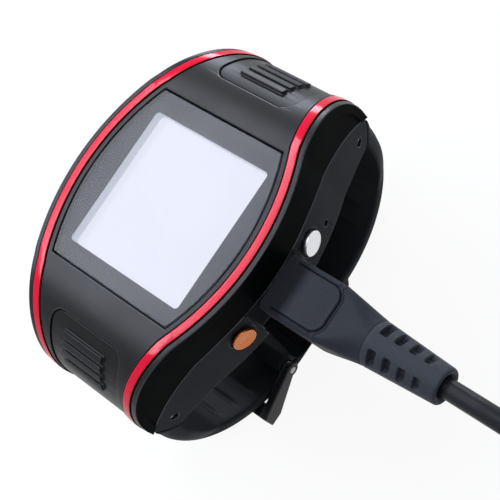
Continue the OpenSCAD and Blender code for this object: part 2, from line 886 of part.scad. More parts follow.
module back_gasket() {
    color("#b33a2a") difference() {
        room(cover_in + seat, cavity_y - seat, ledge_depth, cover_depth);
        room(ledge_in, inner_y, ledge_depth - over, cover_depth + over);
    }
}

module back_screws() {
    head_top = stand_h - cover_depth - cover_t;
    color("#b9bcc0") for (x = [-boss_x, boss_x], y = [-boss_y, boss_y])
        translate([x, y, head_top - head_h]) {
            cylinder(d = head_d, h = head_h);
            cylinder(d = screw_d, h = head_h + screw_l);
        }
}

module usb_receptacle() {
    color("#c3c6ca") translate([mouth_x - port_l, port_y, port_level]) {
        difference() {
            translate([0, -port_w / 2, -port_h / 2]) cube([port_l, port_w, port_h]);
            translate([port_t, port_t - port_w / 2, port_t - port_h / 2])
                cube([far, port_w - 2 * port_t, port_h - 2 * port_t]);
        }
        translate([0, -port_w / 4, -port_tongue_t / 2]) cube([port_tongue_l, port_w / 2, port_tongue_t]);
    }
}

module port_flap() {
    lip_w = port_w - 2 * port_t - 2 * seat;
    lip_l = port_h;
    color("#1b1c1f") at_flap() rotate([0, flap_open, 0]) {
        translate([0, 0, -flap_t / 2]) linear_extrude(flap_t)
            polygon([
                [0, -flap_w / 2], [flap_l, -flap_w / 2 - flap_flare],
                [flap_l, flap_w / 2 - flap_flare], [0, flap_w / 2]
            ]);
        rotate([90, 0, 0]) cylinder(d = flap_hinge_d, h = flap_w, center = true);
        translate([flap_l / 2, port_y - flap_y, 0]) linear_extrude(flap_t / 2 + lip_h)
            difference() {
                square([lip_l + flap_t, lip_w + flap_t], center = true);
                square([lip_l - flap_t, lip_w - flap_t], center = true);
            }
    }
}

module main_board() {
    color("#1f6b3a") room(ledge_in + loose, inner_y - loose, pcb_z, pcb_bottom);
}

// Block on the main board's front (up) or back (down), centred at a place
module on_board(x, y, w, l, h, up) {
    translate([x - w / 2, y - l / 2, stand_h - (up ? pcb_z : pcb_bottom + h)]) cube([w, l, h]);
}

module shield_can() {
    color("#b8bbbf") on_board(0, 0, can_x, can_y, can_h, true);
}

module gps_antenna() {
    color("#c9b48a") on_board(0, inner_y - 2 * loose - antenna_y / 2, antenna_x, antenna_y, antenna_h, true);
}

module radio_antenna() {
    color("#5a5c61") on_board(0, 2 * loose + antenna_y / 2 - inner_y, antenna_x, antenna_y, antenna_h, true);
}

module battery() {
    color("#7d8794") translate([-battery_x / 2, -battery_y / 2, stand_h - cover_depth + seat])
        cube([battery_x, battery_y, battery_t]);
}

module speaker() {
    y = boss_y - boss_d / 2 - speaker_y / 2;
    color("#3b3b3b") translate([-speaker_x / 2, y, stand_h - cover_depth + seat])
        cube([speaker_x, speaker_y, speaker_t]);
}

module microphone() {
    x = arc_half(ledge_in, mic_y + mic_d / 2) - seat;
    color("#c8a24a") rod(x - mic_l, x, mic_d, mic_y, stand_h - mic_z);
}

module vibration_motor() {
    color("#a4a7ab") translate([0, motor_d / 2 + loose - inner_y, stand_h - pcb_bottom - motor_t])
        cylinder(d = motor_d, h = motor_t);
}

// Space inside a strap half's face at a radius, in (y, z) about the centre of its bend
module strap_area(r, flat_l, rise) {
    circle(r);
    translate([-flat_l, -r]) square([flat_l, r]);
    square([r, rise]);
}

// Side view of a strap half at +y: flat under the wrist, round its bend and up round the spring bar
module strap_profile(y, r, flat_l) {
    eye_r = eye_d / 2;
    intersection() {
        union() {
            translate([y, bend_z]) difference() {
                strap_area(r, flat_l, pin_h - bend_z);
                strap_area(r - strap_t, far, far);
                translate([-far, 0]) square(far);
            }
            polygon([
                [reach_y - strap_t, bend_z + strap_t], [reach_y, bend_z + strap_t],
                [reach_y, pin_h - eye_r / 3], [reach_y - eye_r / 2, pin_h + eye_r],
                [pin_y, pin_h + eye_r], [pin_y - eye_r / 3, pin_h - eye_r]
            ]);
            translate([pin_y, pin_h]) circle(eye_r);
        }
        translate([0, -loose]) below_parting();
    }
}

module strap_bore() {
    rod(-strap_w, strap_w, pin_d + 2 * run, pin_y, pin_h);
}

// Half at 12 o'clock: round under the wrist to the buckle bar
module strap_12() {
    neck_y = bar_y + bar_eye_d;
    gap_w = tongue_w + 2 * loose;
    color("#1c1d20") difference() {
        along_x(strap_w) {
            strap_profile(bend_y, bend_r, bend_y - neck_y);
            translate([bar_y, bar_z - bar_eye_d / 4]) square([neck_y - bar_y + strap_t, bar_eye_d / 2]);
            translate([bar_y, bar_z]) circle(d = bar_eye_d);
        }
        strap_bore();
        rod(-strap_w, strap_w, bar_d + 2 * run, bar_y, bar_z);
        translate([0, bar_y, bar_z]) cube([gap_w, 2 * bar_eye_d - 2 * bar_d, 2 * bar_eye_d], center = true);
    }
}

module slot_plan() {
    square([slot_w, slot_l - slot_w], center = true);
    for (s = [-1, 1])
        translate([0, s * (slot_l - slot_w) / 2]) circle(d = slot_w);
}

// Half at 6 o'clock: through the buckle and along the outside of the other half
module strap_6() {
    first_slot = bar_y + slot_w / 2 - slot_l / 2;
    color("#1c1d20") difference() {
        intersection() {
            rotate([0, 0, 180]) difference() {
                along_x(strap_w) strap_profile(tail_bend_y, tail_bend_r, tail_y + tail_bend_y);
                strap_bore();
            }
            linear_extrude(stand_h) translate([0, tail_y - far / 2]) round_rect(strap_w, far, tail_r);
        }
        for (i = [0 : slot_n - 1])
            translate([0, first_slot + i * slot_pitch, 0]) linear_extrude(bar_z) slot_plan();
    }
}

module spring_bars() {
    bar_x = arc_half(mid_in, flare_y) - (pin_y - flare_y) * tan(flare_angle) - pin_sink;
    color("#c6c9cd") for (s = [-1, 1])
        rod(-bar_x, bar_x, pin_d, s * pin_y, pin_h);
}

// Slope of the tongue as a frame: x across, y away from the bar, z out of the strap
module at_tongue() {
    translate([0, bar_y, bar_z]) rotate([tongue_slope, 0, 0]) children();
}

module buckle_frame() {
    eye_r = bar_d / 2 + arm_t / 2;
    color("#4a4c50") difference() {
        union() {
            for (s = [-1, 1])
                translate([s * (arm_x + arm_t / 2), 0, 0]) along_x(arm_t) {
                    translate([bar_y, bar_z]) circle(eye_r);
                    polygon([
                        [bar_y, bar_z + eye_r], [bar_y + eye_r, bar_z],
                        [front_bar_y, 0], [front_bar_y - front_bar_l, 0],
                        [front_bar_y - front_bar_l, front_bar_h]
                    ]);
                }
            span([-arm_x - arm_t, front_bar_y - front_bar_l, 0], [arm_x + arm_t, front_bar_y, front_bar_h]);
        }
        rod(-far, far, bar_d + 2 * run, bar_y, bar_z);
        at_tongue()
            translate([0, -tongue_l / 2, -far / 2 + tongue_t / 2 + loose])
                cube([tongue_w + 2 * loose, 2 * tongue_l, far], center = true);
    }
}

module buckle_bar() {
    color("#c6c9cd") rod(-arm_x - arm_t, arm_x + arm_t, bar_d, bar_y, bar_z);
}

module buckle_tongue() {
    knuckle_d = bar_d + 2 * run + 2 * knuckle_t;
    color("#c6c9cd") difference() {
        union() {
            rod(-tongue_w / 2, tongue_w / 2, knuckle_d, bar_y, bar_z);
            at_tongue() span([-tongue_w / 2, -tongue_l, -tongue_t / 2], [tongue_w / 2, 0, tongue_t / 2]);
        }
        rod(-far, far, bar_d + 2 * run, bar_y, bar_z);
    }
}

// Loop round both layers of the strap
module keeper(y) {
    hole_x = arm_x;
    color("#1c1d20") translate([0, y - keeper_l / 2, 0]) difference() {
        span([-hole_x - keeper_t, 0, 0], [hole_x + keeper_t, keeper_l, keeper_top]);
        span([-hole_x, -over, keeper_t], [hole_x, keeper_l + over, keeper_top - keeper_t]);
    }
}

module fixed_keeper() {
    keeper(0);
}

module free_keeper() {
    keeper(keeper_pitch);
}

// Charging lead: the micro plug in the port
plug_x = wall_x(port_y) + plug_gap;
relief_x = plug_x + plug_l;

module at_plug() {
    translate([plug_x, port_y, port_level]) children();
}

module plug_body() {
    color("#46484d") at_plug() intersection() {
        translate([0, 0, -plug_t]) linear_extrude(2 * plug_t)
            polygon([
                [0, -plug_w / 2], [plug_flat_l, -plug_w / 2], [plug_l, -relief_d1 / 2],
                [plug_l, relief_d1 / 2], [plug_flat_l, plug_w / 2], [0, plug_w / 2]
            ]);
        rotate([90, 0, 0]) linear_extrude(plug_w, center = true)
            polygon([
                [0, -plug_t / 2], [plug_flat_l, -plug_t / 2], [plug_l, -relief_d1 / 2],
                [plug_l, relief_d1 / 2], [plug_flat_l, plug_t / 2], [0, plug_t / 2]
            ]);
    }
    color("#46484d") at_plug() translate([panel_start, -panel_w / 2, plug_t / 2 - panel_h])
        cube([plug_flat_l - panel_start, panel_w, 2 * panel_h]);
}

module plug_shell() {
    color("#c3c6ca") at_plug() translate([-shell_l, 0, 0]) difference() {
        translate([0, -shell_w / 2, -shell_h / 2]) cube([shell_l, shell_w, shell_h]);
        translate([-over, shell_t - shell_w / 2, shell_t - shell_h / 2])
            cube([shell_l + over - shell_t, shell_w - 2 * shell_t, shell_h - 2 * shell_t]);
    }
}

module strain_relief() {
    row = (relief_l - relief_collar) / relief_rows;
    core_d = cord_d + 2 * relief_wall;
    color("#46484d") translate([relief_x, port_y, port_level]) rotate([0, 90, 0]) difference() {
        cylinder(d1 = relief_d1, d2 = relief_d2, h = relief_l);
        for (i = [0 : relief_rows - 1])
            translate([0, 0, (i + 1) * row - relief_slot]) difference() {
                cylinder(d = 2 * relief_d1, h = relief_slot);
                cylinder(d = core_d, h = relief_slot);
                for (a = [0, 90])
                    rotate(a) translate([-relief_d1, -relief_bar / 2, 0])
                        cube([2 * relief_d1, relief_bar, relief_slot]);
            }
    }
}

module cord() {
    color("#46484d") tube(cord_route, cord_d, 8, [1, 0, 0], [1, 0, 0]);
}

module cord_coil() {
    color("#46484d") tube(coil_path, cord_d, 6, [1, 0, 0], [-1, 0, 0]);
}

module coil_tie() {
    color("#1c1d20") translate([coil_mid[0], coil_mid[1], 0]) rotate([90, 0, 0])
        linear_extrude(tie_w, center = true) difference() {
            translate([-tie_x0 - tie_t, 0]) square([tie_x0 - tie_x1 + 2 * tie_t, tie_top + tie_t]);
            translate([-tie_x0, tie_t]) square([tie_x0 - tie_x1, tie_top - tie_t]);
        }
}

// Far plug, lying beside the coil
module at_far() {
    translate(far_at) rotate(90) children();
}

module far_plug_body() {
    neck = cord_d + 2 * relief_wall;
    color("#46484d") at_far() intersection() {
        translate([0, 0, -a_t]) linear_extrude(2 * a_t)
            polygon([
                [-neck / 2, 0], [-a_w / 2, a_neck_l], [-a_w / 2, a_l],
                [a_w / 2, a_l], [a_w / 2, a_neck_l], [neck / 2, 0]
            ]);
        along_x(a_w)
            polygon([
                [0, -neck / 2], [a_neck_l, -a_t / 2], [a_l, -a_t / 2],
                [a_l, a_t / 2], [a_neck_l, a_t / 2], [0, neck / 2]
            ]);
    }
}

module far_plug_shell() {
    color("#c3c6ca") at_far() translate([0, a_l, 0]) difference() {
        translate([-a_shell_w / 2, 0, -a_shell_h / 2]) cube([a_shell_w, a_shell_l, a_shell_h]);
        translate([shell_t - a_shell_w / 2, shell_t, shell_t - a_shell_h / 2])
            cube([a_shell_w - 2 * shell_t, a_shell_l, a_shell_h - 2 * shell_t]);
    }
}

module far_plug_insulator() {
    block_h = a_shell_h / 2 - shell_t - seat;
    color("#e8e8e8") at_far()
        translate([shell_t + seat - a_shell_w / 2, a_l + shell_t, shell_t - a_shell_h / 2])
            cube([a_shell_w - 2 * shell_t - 2 * seat, a_shell_l - 2 * shell_t, block_h]);
}

front_bezel();
lens();
lens_mask();
lens_gasket();
display_frame();
display_module();
display_flex();
trim_left();
trim_right();
end_pad_12();
end_pad_6();
mid_case();
back_cover();
back_gasket();
back_screws();
silver_button();
copper_button();
button_seals();
tact_switches();
usb_receptacle();
port_flap();
main_board();
shield_can();
battery();
gps_antenna();
radio_antenna();
speaker();
microphone();
vibration_motor();
strap_12();
strap_6();
spring_bars();
buckle_frame();
buckle_bar();
buckle_tongue();
fixed_keeper();
free_keeper();
plug_body();
plug_shell();
strain_relief();
cord();
cord_coil();
coil_tie();
far_plug_body();
far_plug_shell();
far_plug_insulator();
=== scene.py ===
"""Looks of a wrist GPS watch on its charging lead, round its CAD part.

Lengths are in mm, and turn to metres where a mesh is made.
"""

import json
import math

import bmesh
import bpy
from mathutils import Matrix, Vector

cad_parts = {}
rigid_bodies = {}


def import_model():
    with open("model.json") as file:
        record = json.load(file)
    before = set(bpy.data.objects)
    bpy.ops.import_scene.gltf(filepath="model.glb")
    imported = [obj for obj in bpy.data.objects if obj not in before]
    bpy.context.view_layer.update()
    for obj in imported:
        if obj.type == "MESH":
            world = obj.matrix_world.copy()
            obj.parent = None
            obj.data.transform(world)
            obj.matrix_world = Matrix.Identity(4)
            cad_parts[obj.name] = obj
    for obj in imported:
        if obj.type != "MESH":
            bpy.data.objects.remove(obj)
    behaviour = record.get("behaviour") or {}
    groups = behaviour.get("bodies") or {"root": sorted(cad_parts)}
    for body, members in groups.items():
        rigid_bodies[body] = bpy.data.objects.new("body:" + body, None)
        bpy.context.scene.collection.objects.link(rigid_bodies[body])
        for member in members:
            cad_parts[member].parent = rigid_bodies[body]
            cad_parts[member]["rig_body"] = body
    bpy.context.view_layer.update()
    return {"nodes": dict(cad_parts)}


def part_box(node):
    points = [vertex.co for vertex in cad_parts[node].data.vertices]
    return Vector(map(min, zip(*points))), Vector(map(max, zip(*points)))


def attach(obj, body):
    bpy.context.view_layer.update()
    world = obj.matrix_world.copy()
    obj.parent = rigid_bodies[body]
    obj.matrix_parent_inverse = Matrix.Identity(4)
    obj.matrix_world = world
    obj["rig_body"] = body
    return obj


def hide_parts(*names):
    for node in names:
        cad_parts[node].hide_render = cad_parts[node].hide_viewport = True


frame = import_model()
nodes = frame["nodes"]
scene = bpy.context.scene
scene.view_settings.view_transform = "Standard"

MM = 0.001

# Camera, as solved from the lens and window outline in the photograph
right = Vector((0.71677, 0.55885, -0.41705))
up = Vector((-0.43985, 0.82644, 0.35148))
back = Vector((0.54109, -0.06849, 0.83817))
eye = Vector((0.13558, -0.01350, 0.23223))
camera = bpy.data.objects.new("camera", bpy.data.cameras.new("camera"))
scene.collection.objects.link(camera)
camera.data.sensor_width = 36
camera.data.lens = 92.47
camera.data.clip_start = 0.01
camera.data.clip_end = 20
camera.matrix_world = Matrix(
    [[right[i], up[i], back[i], eye[i]] for i in range(3)] + [[0, 0, 0, 1]]
)
scene.camera = camera


# Sizes shared with the CAD source: the case
stand_h = 53.4  # lens face above the floor
case_t = 17.8  # thickness in the middle
side_r = 46.0  # bow of the sides
arc_x = 23.3  # centre of that bow, past the middle
mid_in = 0.3  # set-back of the mid case
wall_r = side_r - mid_in
front_h = 8.0  # lens face to parting line
part_y = 9.0  # where the parting line starts to bend down
part_r = 35.0  # radius of that bend
nose_y = 17.6  # where the front starts to roll down
nose_r = 17.3  # radius of that roll
flare_y = 20.0  # where the bowed sides give way to straight ends
flare_x = 17.9  # half the width there, within the case
flare_slope = 0.357  # taper of the straight ends
lug_y = 28.4  # centre of the lugs' round ends
lug_z = 36.9
lug_r = 6.6
loose = 0.3  # clearance between pieces

# Sizes shared with the CAD source: strap, port and cord
pin_y = 30.0  # spring bars
pin_z = stand_h - 19.5
eye_r = 2.9  # strap's eye round its bar
strap_t = 2.2
strap_w = 24.0
reach_y = 34.5  # outer faces of the strap
bend_z = 29.0  # centres of its two bends
upper_r = 25.0  # outer radius of the bend at 12 o'clock
lower_r = 27.5  # outer radius of the bend at 6 o'clock
port_y = -0.3
port_level = 42.5
cord_d = 3.6


def arc_half(inset, y):
    """Half the width between the bowed sides, at a set-back from them."""
    return math.sqrt((side_r - inset) ** 2 - y * y) - arc_x


# Materials
gloss_swing = 0.08  # share by which the roughness varies
broad_scale = 120  # of that variation
ring_scale = 800  # of the marks that turning leaves


def surface(name, color, rough=0.4, metal=0.0, spec=0.5, grain=0.2, depth=0.01, tint=0.1, spun=None):
    """A finish with a fine grain in colour and relief, and a gloss that varies a little.

    Size and depth of the grain are in mm. Rings about the point spun take the grain's place.
    """
    mat = bpy.data.materials.new(name)
    mat.use_nodes = True
    tree, link = mat.node_tree.nodes, mat.node_tree.links.new
    shader = tree["Principled BSDF"]
    shader.inputs["Metallic"].default_value = metal
    shader.inputs["Specular IOR Level"].default_value = spec
    place = tree.new("ShaderNodeTexCoord")
    fine = tree.new("ShaderNodeTexNoise")
    fine.inputs["Scale"].default_value = 1 / (grain * MM)
    fine.inputs["Detail"].default_value = 4
    link(place.outputs["Object"], fine.inputs["Vector"])
    broad = tree.new("ShaderNodeTexNoise")
    broad.inputs["Scale"].default_value = broad_scale
    broad.inputs["Detail"].default_value = 3
    link(place.outputs["Object"], broad.inputs["Vector"])
    mixed = tree.new("ShaderNodeMix")
    mixed.data_type = "RGBA"
    mixed.inputs[6].default_value = (*[c * (1 - tint) for c in color], 1)
    mixed.inputs[7].default_value = (*[min(1, c * (1 + tint)) for c in color], 1)
    link(fine.outputs["Fac"], mixed.inputs[0])
    link(mixed.outputs[2], shader.inputs["Base Color"])
    gloss = tree.new("ShaderNodeMapRange")
    gloss.inputs["From Min"].default_value = 0.3
    gloss.inputs["From Max"].default_value = 0.7
    gloss.inputs["To Min"].default_value = max(0.02, rough * (1 - gloss_swing))
    gloss.inputs["To Max"].default_value = min(1, rough * (1 + gloss_swing))
    link(broad.outputs["Fac"], gloss.inputs["Value"])
    link(gloss.outputs["Result"], shader.inputs["Roughness"])
    bump = tree.new("ShaderNodeBump")
    bump.inputs["Strength"].default_value = 0.6
    bump.inputs["Distance"].default_value = depth * MM
    link(bump.outputs["Normal"], shader.inputs["Normal"])
    if spun is None:
        link(fine.outputs["Fac"], bump.inputs["Height"])
        return mat
    centre = tree.new("ShaderNodeMapping")
    centre.inputs["Location"].default_value = [-c for c in spun]
    link(place.outputs["Object"], centre.inputs["Vector"])
    rings = tree.new("ShaderNodeTexWave")
    rings.wave_type = "RINGS"
    rings.rings_direction = "SPHERICAL"
    rings.inputs["Scale"].default_value = ring_scale
    rings.inputs["Distortion"].default_value = 0.8
    link(centre.outputs["Vector"], rings.inputs["Vector"])
    link(rings.outputs["Fac"], bump.inputs["Height"])
    link(rings.outputs["Fac"], mixed.inputs[0])
    return mat


looks = {
    "bezel_plastic": dict(color=(0.0032, 0.0035, 0.0042), rough=0.38, spec=0.17, grain=0.22, depth=0.006),
    # The two edge finishes are lighter than the faces they border: painted highlights along the broken edges
    "bezel_edge_highlight": dict(color=(0.012, 0.013, 0.0155), rough=0.3, spec=0.3, grain=0.22, depth=0.004),
    "mid_edge_highlight": dict(color=(0.03, 0.034, 0.042), rough=0.36, spec=0.25, grain=0.15, depth=0.004),
    # A darker, barely glossy copy of the bezel finish: painted shade on the bezel's flanks and the trims'
    # sides
    "flank_shade": dict(color=(0.002, 0.0023, 0.0027), rough=0.55, spec=0.012, grain=0.15, depth=0.01),
    # The mid case is lighter and bluer than the black bezel plastic: painted reflection on the case's sides
    "mid_plastic": dict(color=(0.0085, 0.0102, 0.014), rough=0.42, spec=0.04, grain=0.15, depth=0.006),
    "cover_plastic": dict(color=(0.012, 0.013, 0.015), rough=0.42, spec=0.25, grain=0.25, depth=0.012),
    "trim_red": dict(color=(0.62, 0.002, 0.028), rough=0.14, spec=0.135, grain=0.3, depth=0.001, tint=0.05),
    "pad_rubber": dict(color=(0.003, 0.0033, 0.004), rough=0.38, spec=0.14, grain=0.2, depth=0.008),
    "strap_rubber": dict(color=(0.0165, 0.018, 0.0208), rough=0.5, spec=0.05, grain=0.25, depth=0.012),
    "flap_rubber": dict(color=(0.0015, 0.0018, 0.0024), rough=0.45, spec=0.02, grain=0.2, depth=0.008),
    "plug_grip": dict(color=(0.023, 0.0252, 0.031), rough=0.5, spec=0.06, grain=0.28, depth=0.06, tint=0.35),
    "cord_jacket": dict(color=(0.007, 0.008, 0.0105), rough=0.36, spec=0.17, grain=0.3, depth=0.008),
    "relief_grip": dict(color=(0.033, 0.036, 0.044), rough=0.5, spec=0.1, grain=0.28, depth=0.05, tint=0.35),
    "tie_band": dict(color=(0.012, 0.012, 0.014), rough=0.8, spec=0.1, grain=0.35, depth=0.12, tint=0.35),
    "seal_rubber": dict(color=(0.008, 0.008, 0.008), rough=0.6, spec=0.15),
    "gasket_red": dict(color=(0.42, 0.05, 0.03), rough=0.5, spec=0.25),
    "frame_white": dict(color=(0.78, 0.8, 0.83), rough=0.45, spec=0.25, tint=0.03),
    "lens_print": dict(color=(0.006, 0.006, 0.008), rough=0.4, spec=0.05, depth=0.0005),
    # Darker than the other steels: painted shade that dims the glints at the ends of the spring bars and the
    # buckle bar
    "pin_steel": dict(color=(0.3, 0.3, 0.31), rough=0.35, metal=1, grain=0.15, depth=0.003),
    "screw_steel": dict(color=(0.55, 0.55, 0.57), rough=0.28, metal=1, grain=0.15, depth=0.003),
    "shell_steel": dict(color=(0.66, 0.67, 0.69), rough=0.2, metal=1, grain=0.3, depth=0.002),
    "port_steel": dict(color=(0.6, 0.61, 0.63), rough=0.25, metal=1, grain=0.3, depth=0.002),
    "buckle_metal": dict(color=(0.01, 0.0105, 0.012), rough=0.34, spec=0.2, grain=0.12, depth=0.004),
    "can_steel": dict(color=(0.6, 0.6, 0.6), rough=0.35, metal=1),
    "motor_steel": dict(color=(0.55, 0.55, 0.57), rough=0.35, metal=1),
    "contact_gold": dict(color=(0.75, 0.55, 0.22), rough=0.3, metal=1),
    "battery_foil": dict(color=(0.5, 0.52, 0.54), rough=0.4, metal=0.6),
    "board": dict(color=(0.012, 0.13, 0.045), rough=0.45, spec=0.25),
    "flex": dict(color=(0.5, 0.26, 0.06), rough=0.45, spec=0.25),
    "switch": dict(color=(0.3, 0.3, 0.31), rough=0.4, metal=0.5),
    "antenna_ceramic": dict(color=(0.62, 0.56, 0.44), rough=0.55, spec=0.25),
    "inner_dark": dict(color=(0.03, 0.03, 0.032), rough=0.5, spec=0.25),
    "insulator": dict(color=(0.75, 0.75, 0.74), rough=0.45, spec=0.25, tint=0.04),
}
finish = {name: surface(name, **look) for name, look in looks.items()}


# Mesh helpers


def piece(name, mesh, body, slot, stands_for=(), look=None, sharp=40):
    """Puts a mesh in the scene as a piece of the object, shaded smooth but for its sharp edges."""
    bm = bmesh.new()
    bm.from_mesh(mesh)
    bmesh.ops.remove_doubles(bm, verts=bm.verts, dist=1e-7)
    bmesh.ops.recalc_face_normals(bm, faces=bm.faces)
    for f in bm.faces:
        f.smooth = True
    bm.to_mesh(mesh)
    bm.free()
    mesh.set_sharp_from_angle(angle=math.radians(sharp))
    obj = bpy.data.objects.new(name, mesh)
    scene.collection.objects.link(obj)
    if not mesh.materials:
        mesh.materials.append(look or finish[slot])
    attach(obj, body)
    if stands_for:
        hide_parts(*stands_for)
    return obj


def shape(verts, faces):
    """A mesh in metres from points in mm."""
    mesh = bpy.data.meshes.new("shape")
    mesh.from_pydata([[c * MM for c in v] for v in verts], [], faces)
    return mesh


def loft(rings, loop=False):
    """A skin over rings of equal point count, closed at both ends, or from the last ring to the first."""
    n, verts, faces = len(rings[0]), [v for r in rings for v in r], []
    for i in range(len(rings) if loop else len(rings) - 1):
        a, b = i * n, (i + 1) % len(rings) * n
        faces += [(a + k, a + (k + 1) % n, b + (k + 1) % n, b + k) for k in range(n)]
    if not loop:
        faces += [tuple(range(n))[::-1], tuple(range(len(verts) - n, len(verts)))]
    return shape(verts, faces)


def joined(*meshes):
    """One mesh out of several."""
    bm = bmesh.new()
    for m in meshes:
        bm.from_mesh(m)
    out = bpy.data.meshes.new("joined")
    bm.to_mesh(out)
    bm.free()
    return out


def placed(mesh, matrix):
    """The same mesh, moved."""
    mesh.transform(matrix)
    return mesh


def moved(x, y, z):
    """A shift in mm."""
    return Matrix.Translation((x * MM, y * MM, z * MM))


def turned(degrees, axis):
    return Matrix.Rotation(math.radians(degrees), 4, axis)


def quarter(steps):
    """Angles from 0 to a right angle."""
    return [math.radians(90 * i / steps) for i in range(steps + 1)]


def round_ring(w, h, r, n=6):
    """Points of a rounded rectangle about the origin, anticlockwise from the right."""
    r = max(1e-3, min(r, w / 2, h / 2))
    out = []
    for sx, sy, a0 in ((1, 1, 0), (-1, 1, 90), (-1, -1, 180), (1, -1, 270)):
        for i in range(n + 1):
            a = math.radians(a0 + 90 * i / n)
            out.append((sx * (w / 2 - r) + r * math.cos(a), sy * (h / 2 - r) + r * math.sin(a)))
    return out


def filleted(corners, step=0.5):
    """A closed outline with each corner (a, b, radius) rounded, in points about a step apart."""
    out, n = [], len(corners)
    for i, (x, y, r) in enumerate(corners):
        p, q = corners[i - 1], corners[(i + 1) % n]
        u = Vector((p[0] - x, p[1] - y)).normalized()
        v = Vector((q[0] - x, q[1] - y)).normalized()
        half = math.acos(max(-1, min(1, u.dot(v)))) / 2
        if r <= 0 or half > math.radians(89.5):
            out.append(Vector((x, y)))
            continue
        centre = Vector((x, y)) + (u + v).normalized() * (r / math.sin(half))
        a = Vector((x, y)) + u * (r / math.tan(half)) - centre
        b = Vector((x, y)) + v * (r / math.tan(half)) - centre
        turn = math.atan2(a.x * b.y - a.y * b.x, a.dot(b))
        k = max(4, int(abs(turn) * r / step))
        for j in range(k + 1):
            c, s = math.cos(turn * j / k), math.sin(turn * j / k)
            out.append(centre + Vector((a.x * c - a.y * s, a.x * s + a.y * c)))
    dense = []
    for i, p in enumerate(out):
        q = out[(i + 1) % len(out)]
        k = max(1, int((q - p).length / step))
        dense += [p + (q - p) * (j / k) for j in range(k)]
    return dense


def inset(points, amount):
    """An anticlockwise outline moved inwards."""
    n, out = len(points), []
    for i, p in enumerate(points):
        t = (points[(i + 1) % n] - points[i - 1]).normalized()
        out.append(p + Vector((-t.y, t.x)) * amount)
    return out


def anticlockwise(points):
    """The same outline, turned round if it runs clockwise."""
    n = len(points)
    area = sum(points[i].x * points[(i + 1) % n].y - points[(i + 1) % n].x * points[i].y for i in range(n))
    return points if area > 0 else points[::-1]


def upright(plan, low, high):
    """A plain block from an outline in the first two axes, between two levels."""
    return loft([[(x, y, z) for x, y in plan] for z in (low, high)])


def slab(outline, low, high, r, steps=4):
    """A plate between two levels with its rim rounded, from an outline in the first two axes."""
    base = anticlockwise(outline)
    levels = [(low + r * (1 - math.cos(a)), r * (1 - math.sin(a))) for a in quarter(steps)]
    levels += [(low + high - z, d) for z, d in levels[::-1]]
    return loft([[(p.x, p.y, z) for p in inset(base, d)] for z, d in levels])


def revolve(profile, sides=96):
    """A turned piece about the X axis from (x, radius) points."""
    rings = []
    for x, r in profile:
        turn = [2 * math.pi * k / sides for k in range(sides)]
        rings.append([(x, max(r, 1e-3) * math.cos(a), max(r, 1e-3) * math.sin(a)) for a in turn])
    return loft(rings)


def ease(u):
    """A smooth step from 0 to 1."""
    u = min(1.0, max(0.0, u))
    return u * u * (3 - 2 * u)


def end_round(distance, r):
    """Set-back of a rounded end edge, at a distance from that end."""
    return r * (1 - math.sqrt(max(0, 1 - (1 - min(1, distance / r)) ** 2)))


def corner_distance(past_x, past_y, r):
    """Distance to an outline with a rounded corner, from the distances past its two sides."""
    qx, qy = past_x + r, past_y + r
    return math.hypot(max(qx, 0), max(qy, 0)) + min(max(qx, qy), 0) - r


def rounded(node, width, slot, segments=2, angle=25, sharp=60, edge=None):
    """Stands for a hard CAD node: the same shape with its sharp edges broken.

    The broken edges get a lighter finish, a painted highlight, if an edge finish is given.
    """
    bm = bmesh.new()
    bm.from_mesh(nodes[node].data)
    bmesh.ops.remove_doubles(bm, verts=bm.verts, dist=2e-6)
    bmesh.ops.dissolve_limit(bm, angle_limit=math.radians(0.3), verts=bm.verts, edges=bm.edges)
    hard = [e for e in bm.edges if len(e.link_faces) == 2 and e.calc_face_angle(0) > math.radians(angle)]
    broken = bmesh.ops.bevel(
        bm, geom=hard, offset=width * MM, offset_type="OFFSET", segments=segments, profile=0.5, affect="EDGES"
    )
    for f in broken["faces"]:
        f.material_index = 1 if edge else 0
    mesh = bpy.data.meshes.new(node)
    bm.to_mesh(mesh)
    bm.free()
    obj = piece(node + "_shell", mesh, nodes[node]["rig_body"], slot, [node], sharp=sharp)
    if edge:
        mesh.materials.append(finish[edge])
    flat = obj.modifiers.new("flat_faces", "WEIGHTED_NORMAL")
    flat.keep_sharp = True
    return obj


# Cord: the route of the CAD source, out of the strain relief and down to a coil past the picture's edge
cord_route = [
    (57.6, -0.3, 42.5), (62, -0.3, 42.5), (66.3, -0.3, 42.5), (70.5, -0.3, 41.8), (74.5, -0.5, 40.2),
    (78.1, -1.3, 38), (81.4, -2.5, 35.6), (84.5, -4, 33), (87.4, -5.7, 30.3), (90.2, -7.6, 27.5),
    (92.9, -9.5, 24.8), (95.6, -11.6, 22.1), (98.2, -13.7, 19.4), (100.9, -15.8, 16.7), (103.6, -18, 14.1),
    (106.3, -20.2, 11.6), (109.2, -22.3, 9.2), (112.2, -24.5, 7), (115.5, -26.6, 5.1), (119, -28.6, 3.6),
    (122.9, -30.2, 2.9), (127.1, -31.3, 2.8), (131.4, -31.5, 2.8), (135.7, -31.5, 2.8), (140, -31.5, 2.8),
]
coil_mid = (140, -2.9)
coil_r = 28.6  # outer turn
coil_pitch = 4.7  # from turn to turn
coil_z = 2.8  # lower layer
coil_lift = 4.5  # upper layer above it
coil_in = 3  # turns inwards on the lower layer
coil_climb = 0.5  # turns on the way up
coil_turns = 6.5  # in all, the rest outwards on the upper layer
coil_points = 24  # in a turn
coil_end = [(136.3, 25.7, 6.9), (131.5, 25.7, 5.5), (126.7, 25.7, 4.2), (122, 25.7, 3.8)]


def coil_radius(t):
    if t < coil_in:
        return coil_r - coil_pitch * t
    if t < coil_in + coil_climb:
        return coil_r - coil_pitch * coil_in
    return coil_r + coil_pitch * (t - 2 * coil_in - coil_climb)


def swell(u):
    return (1 - math.cos(math.pi * min(1, max(0, u)))) / 2


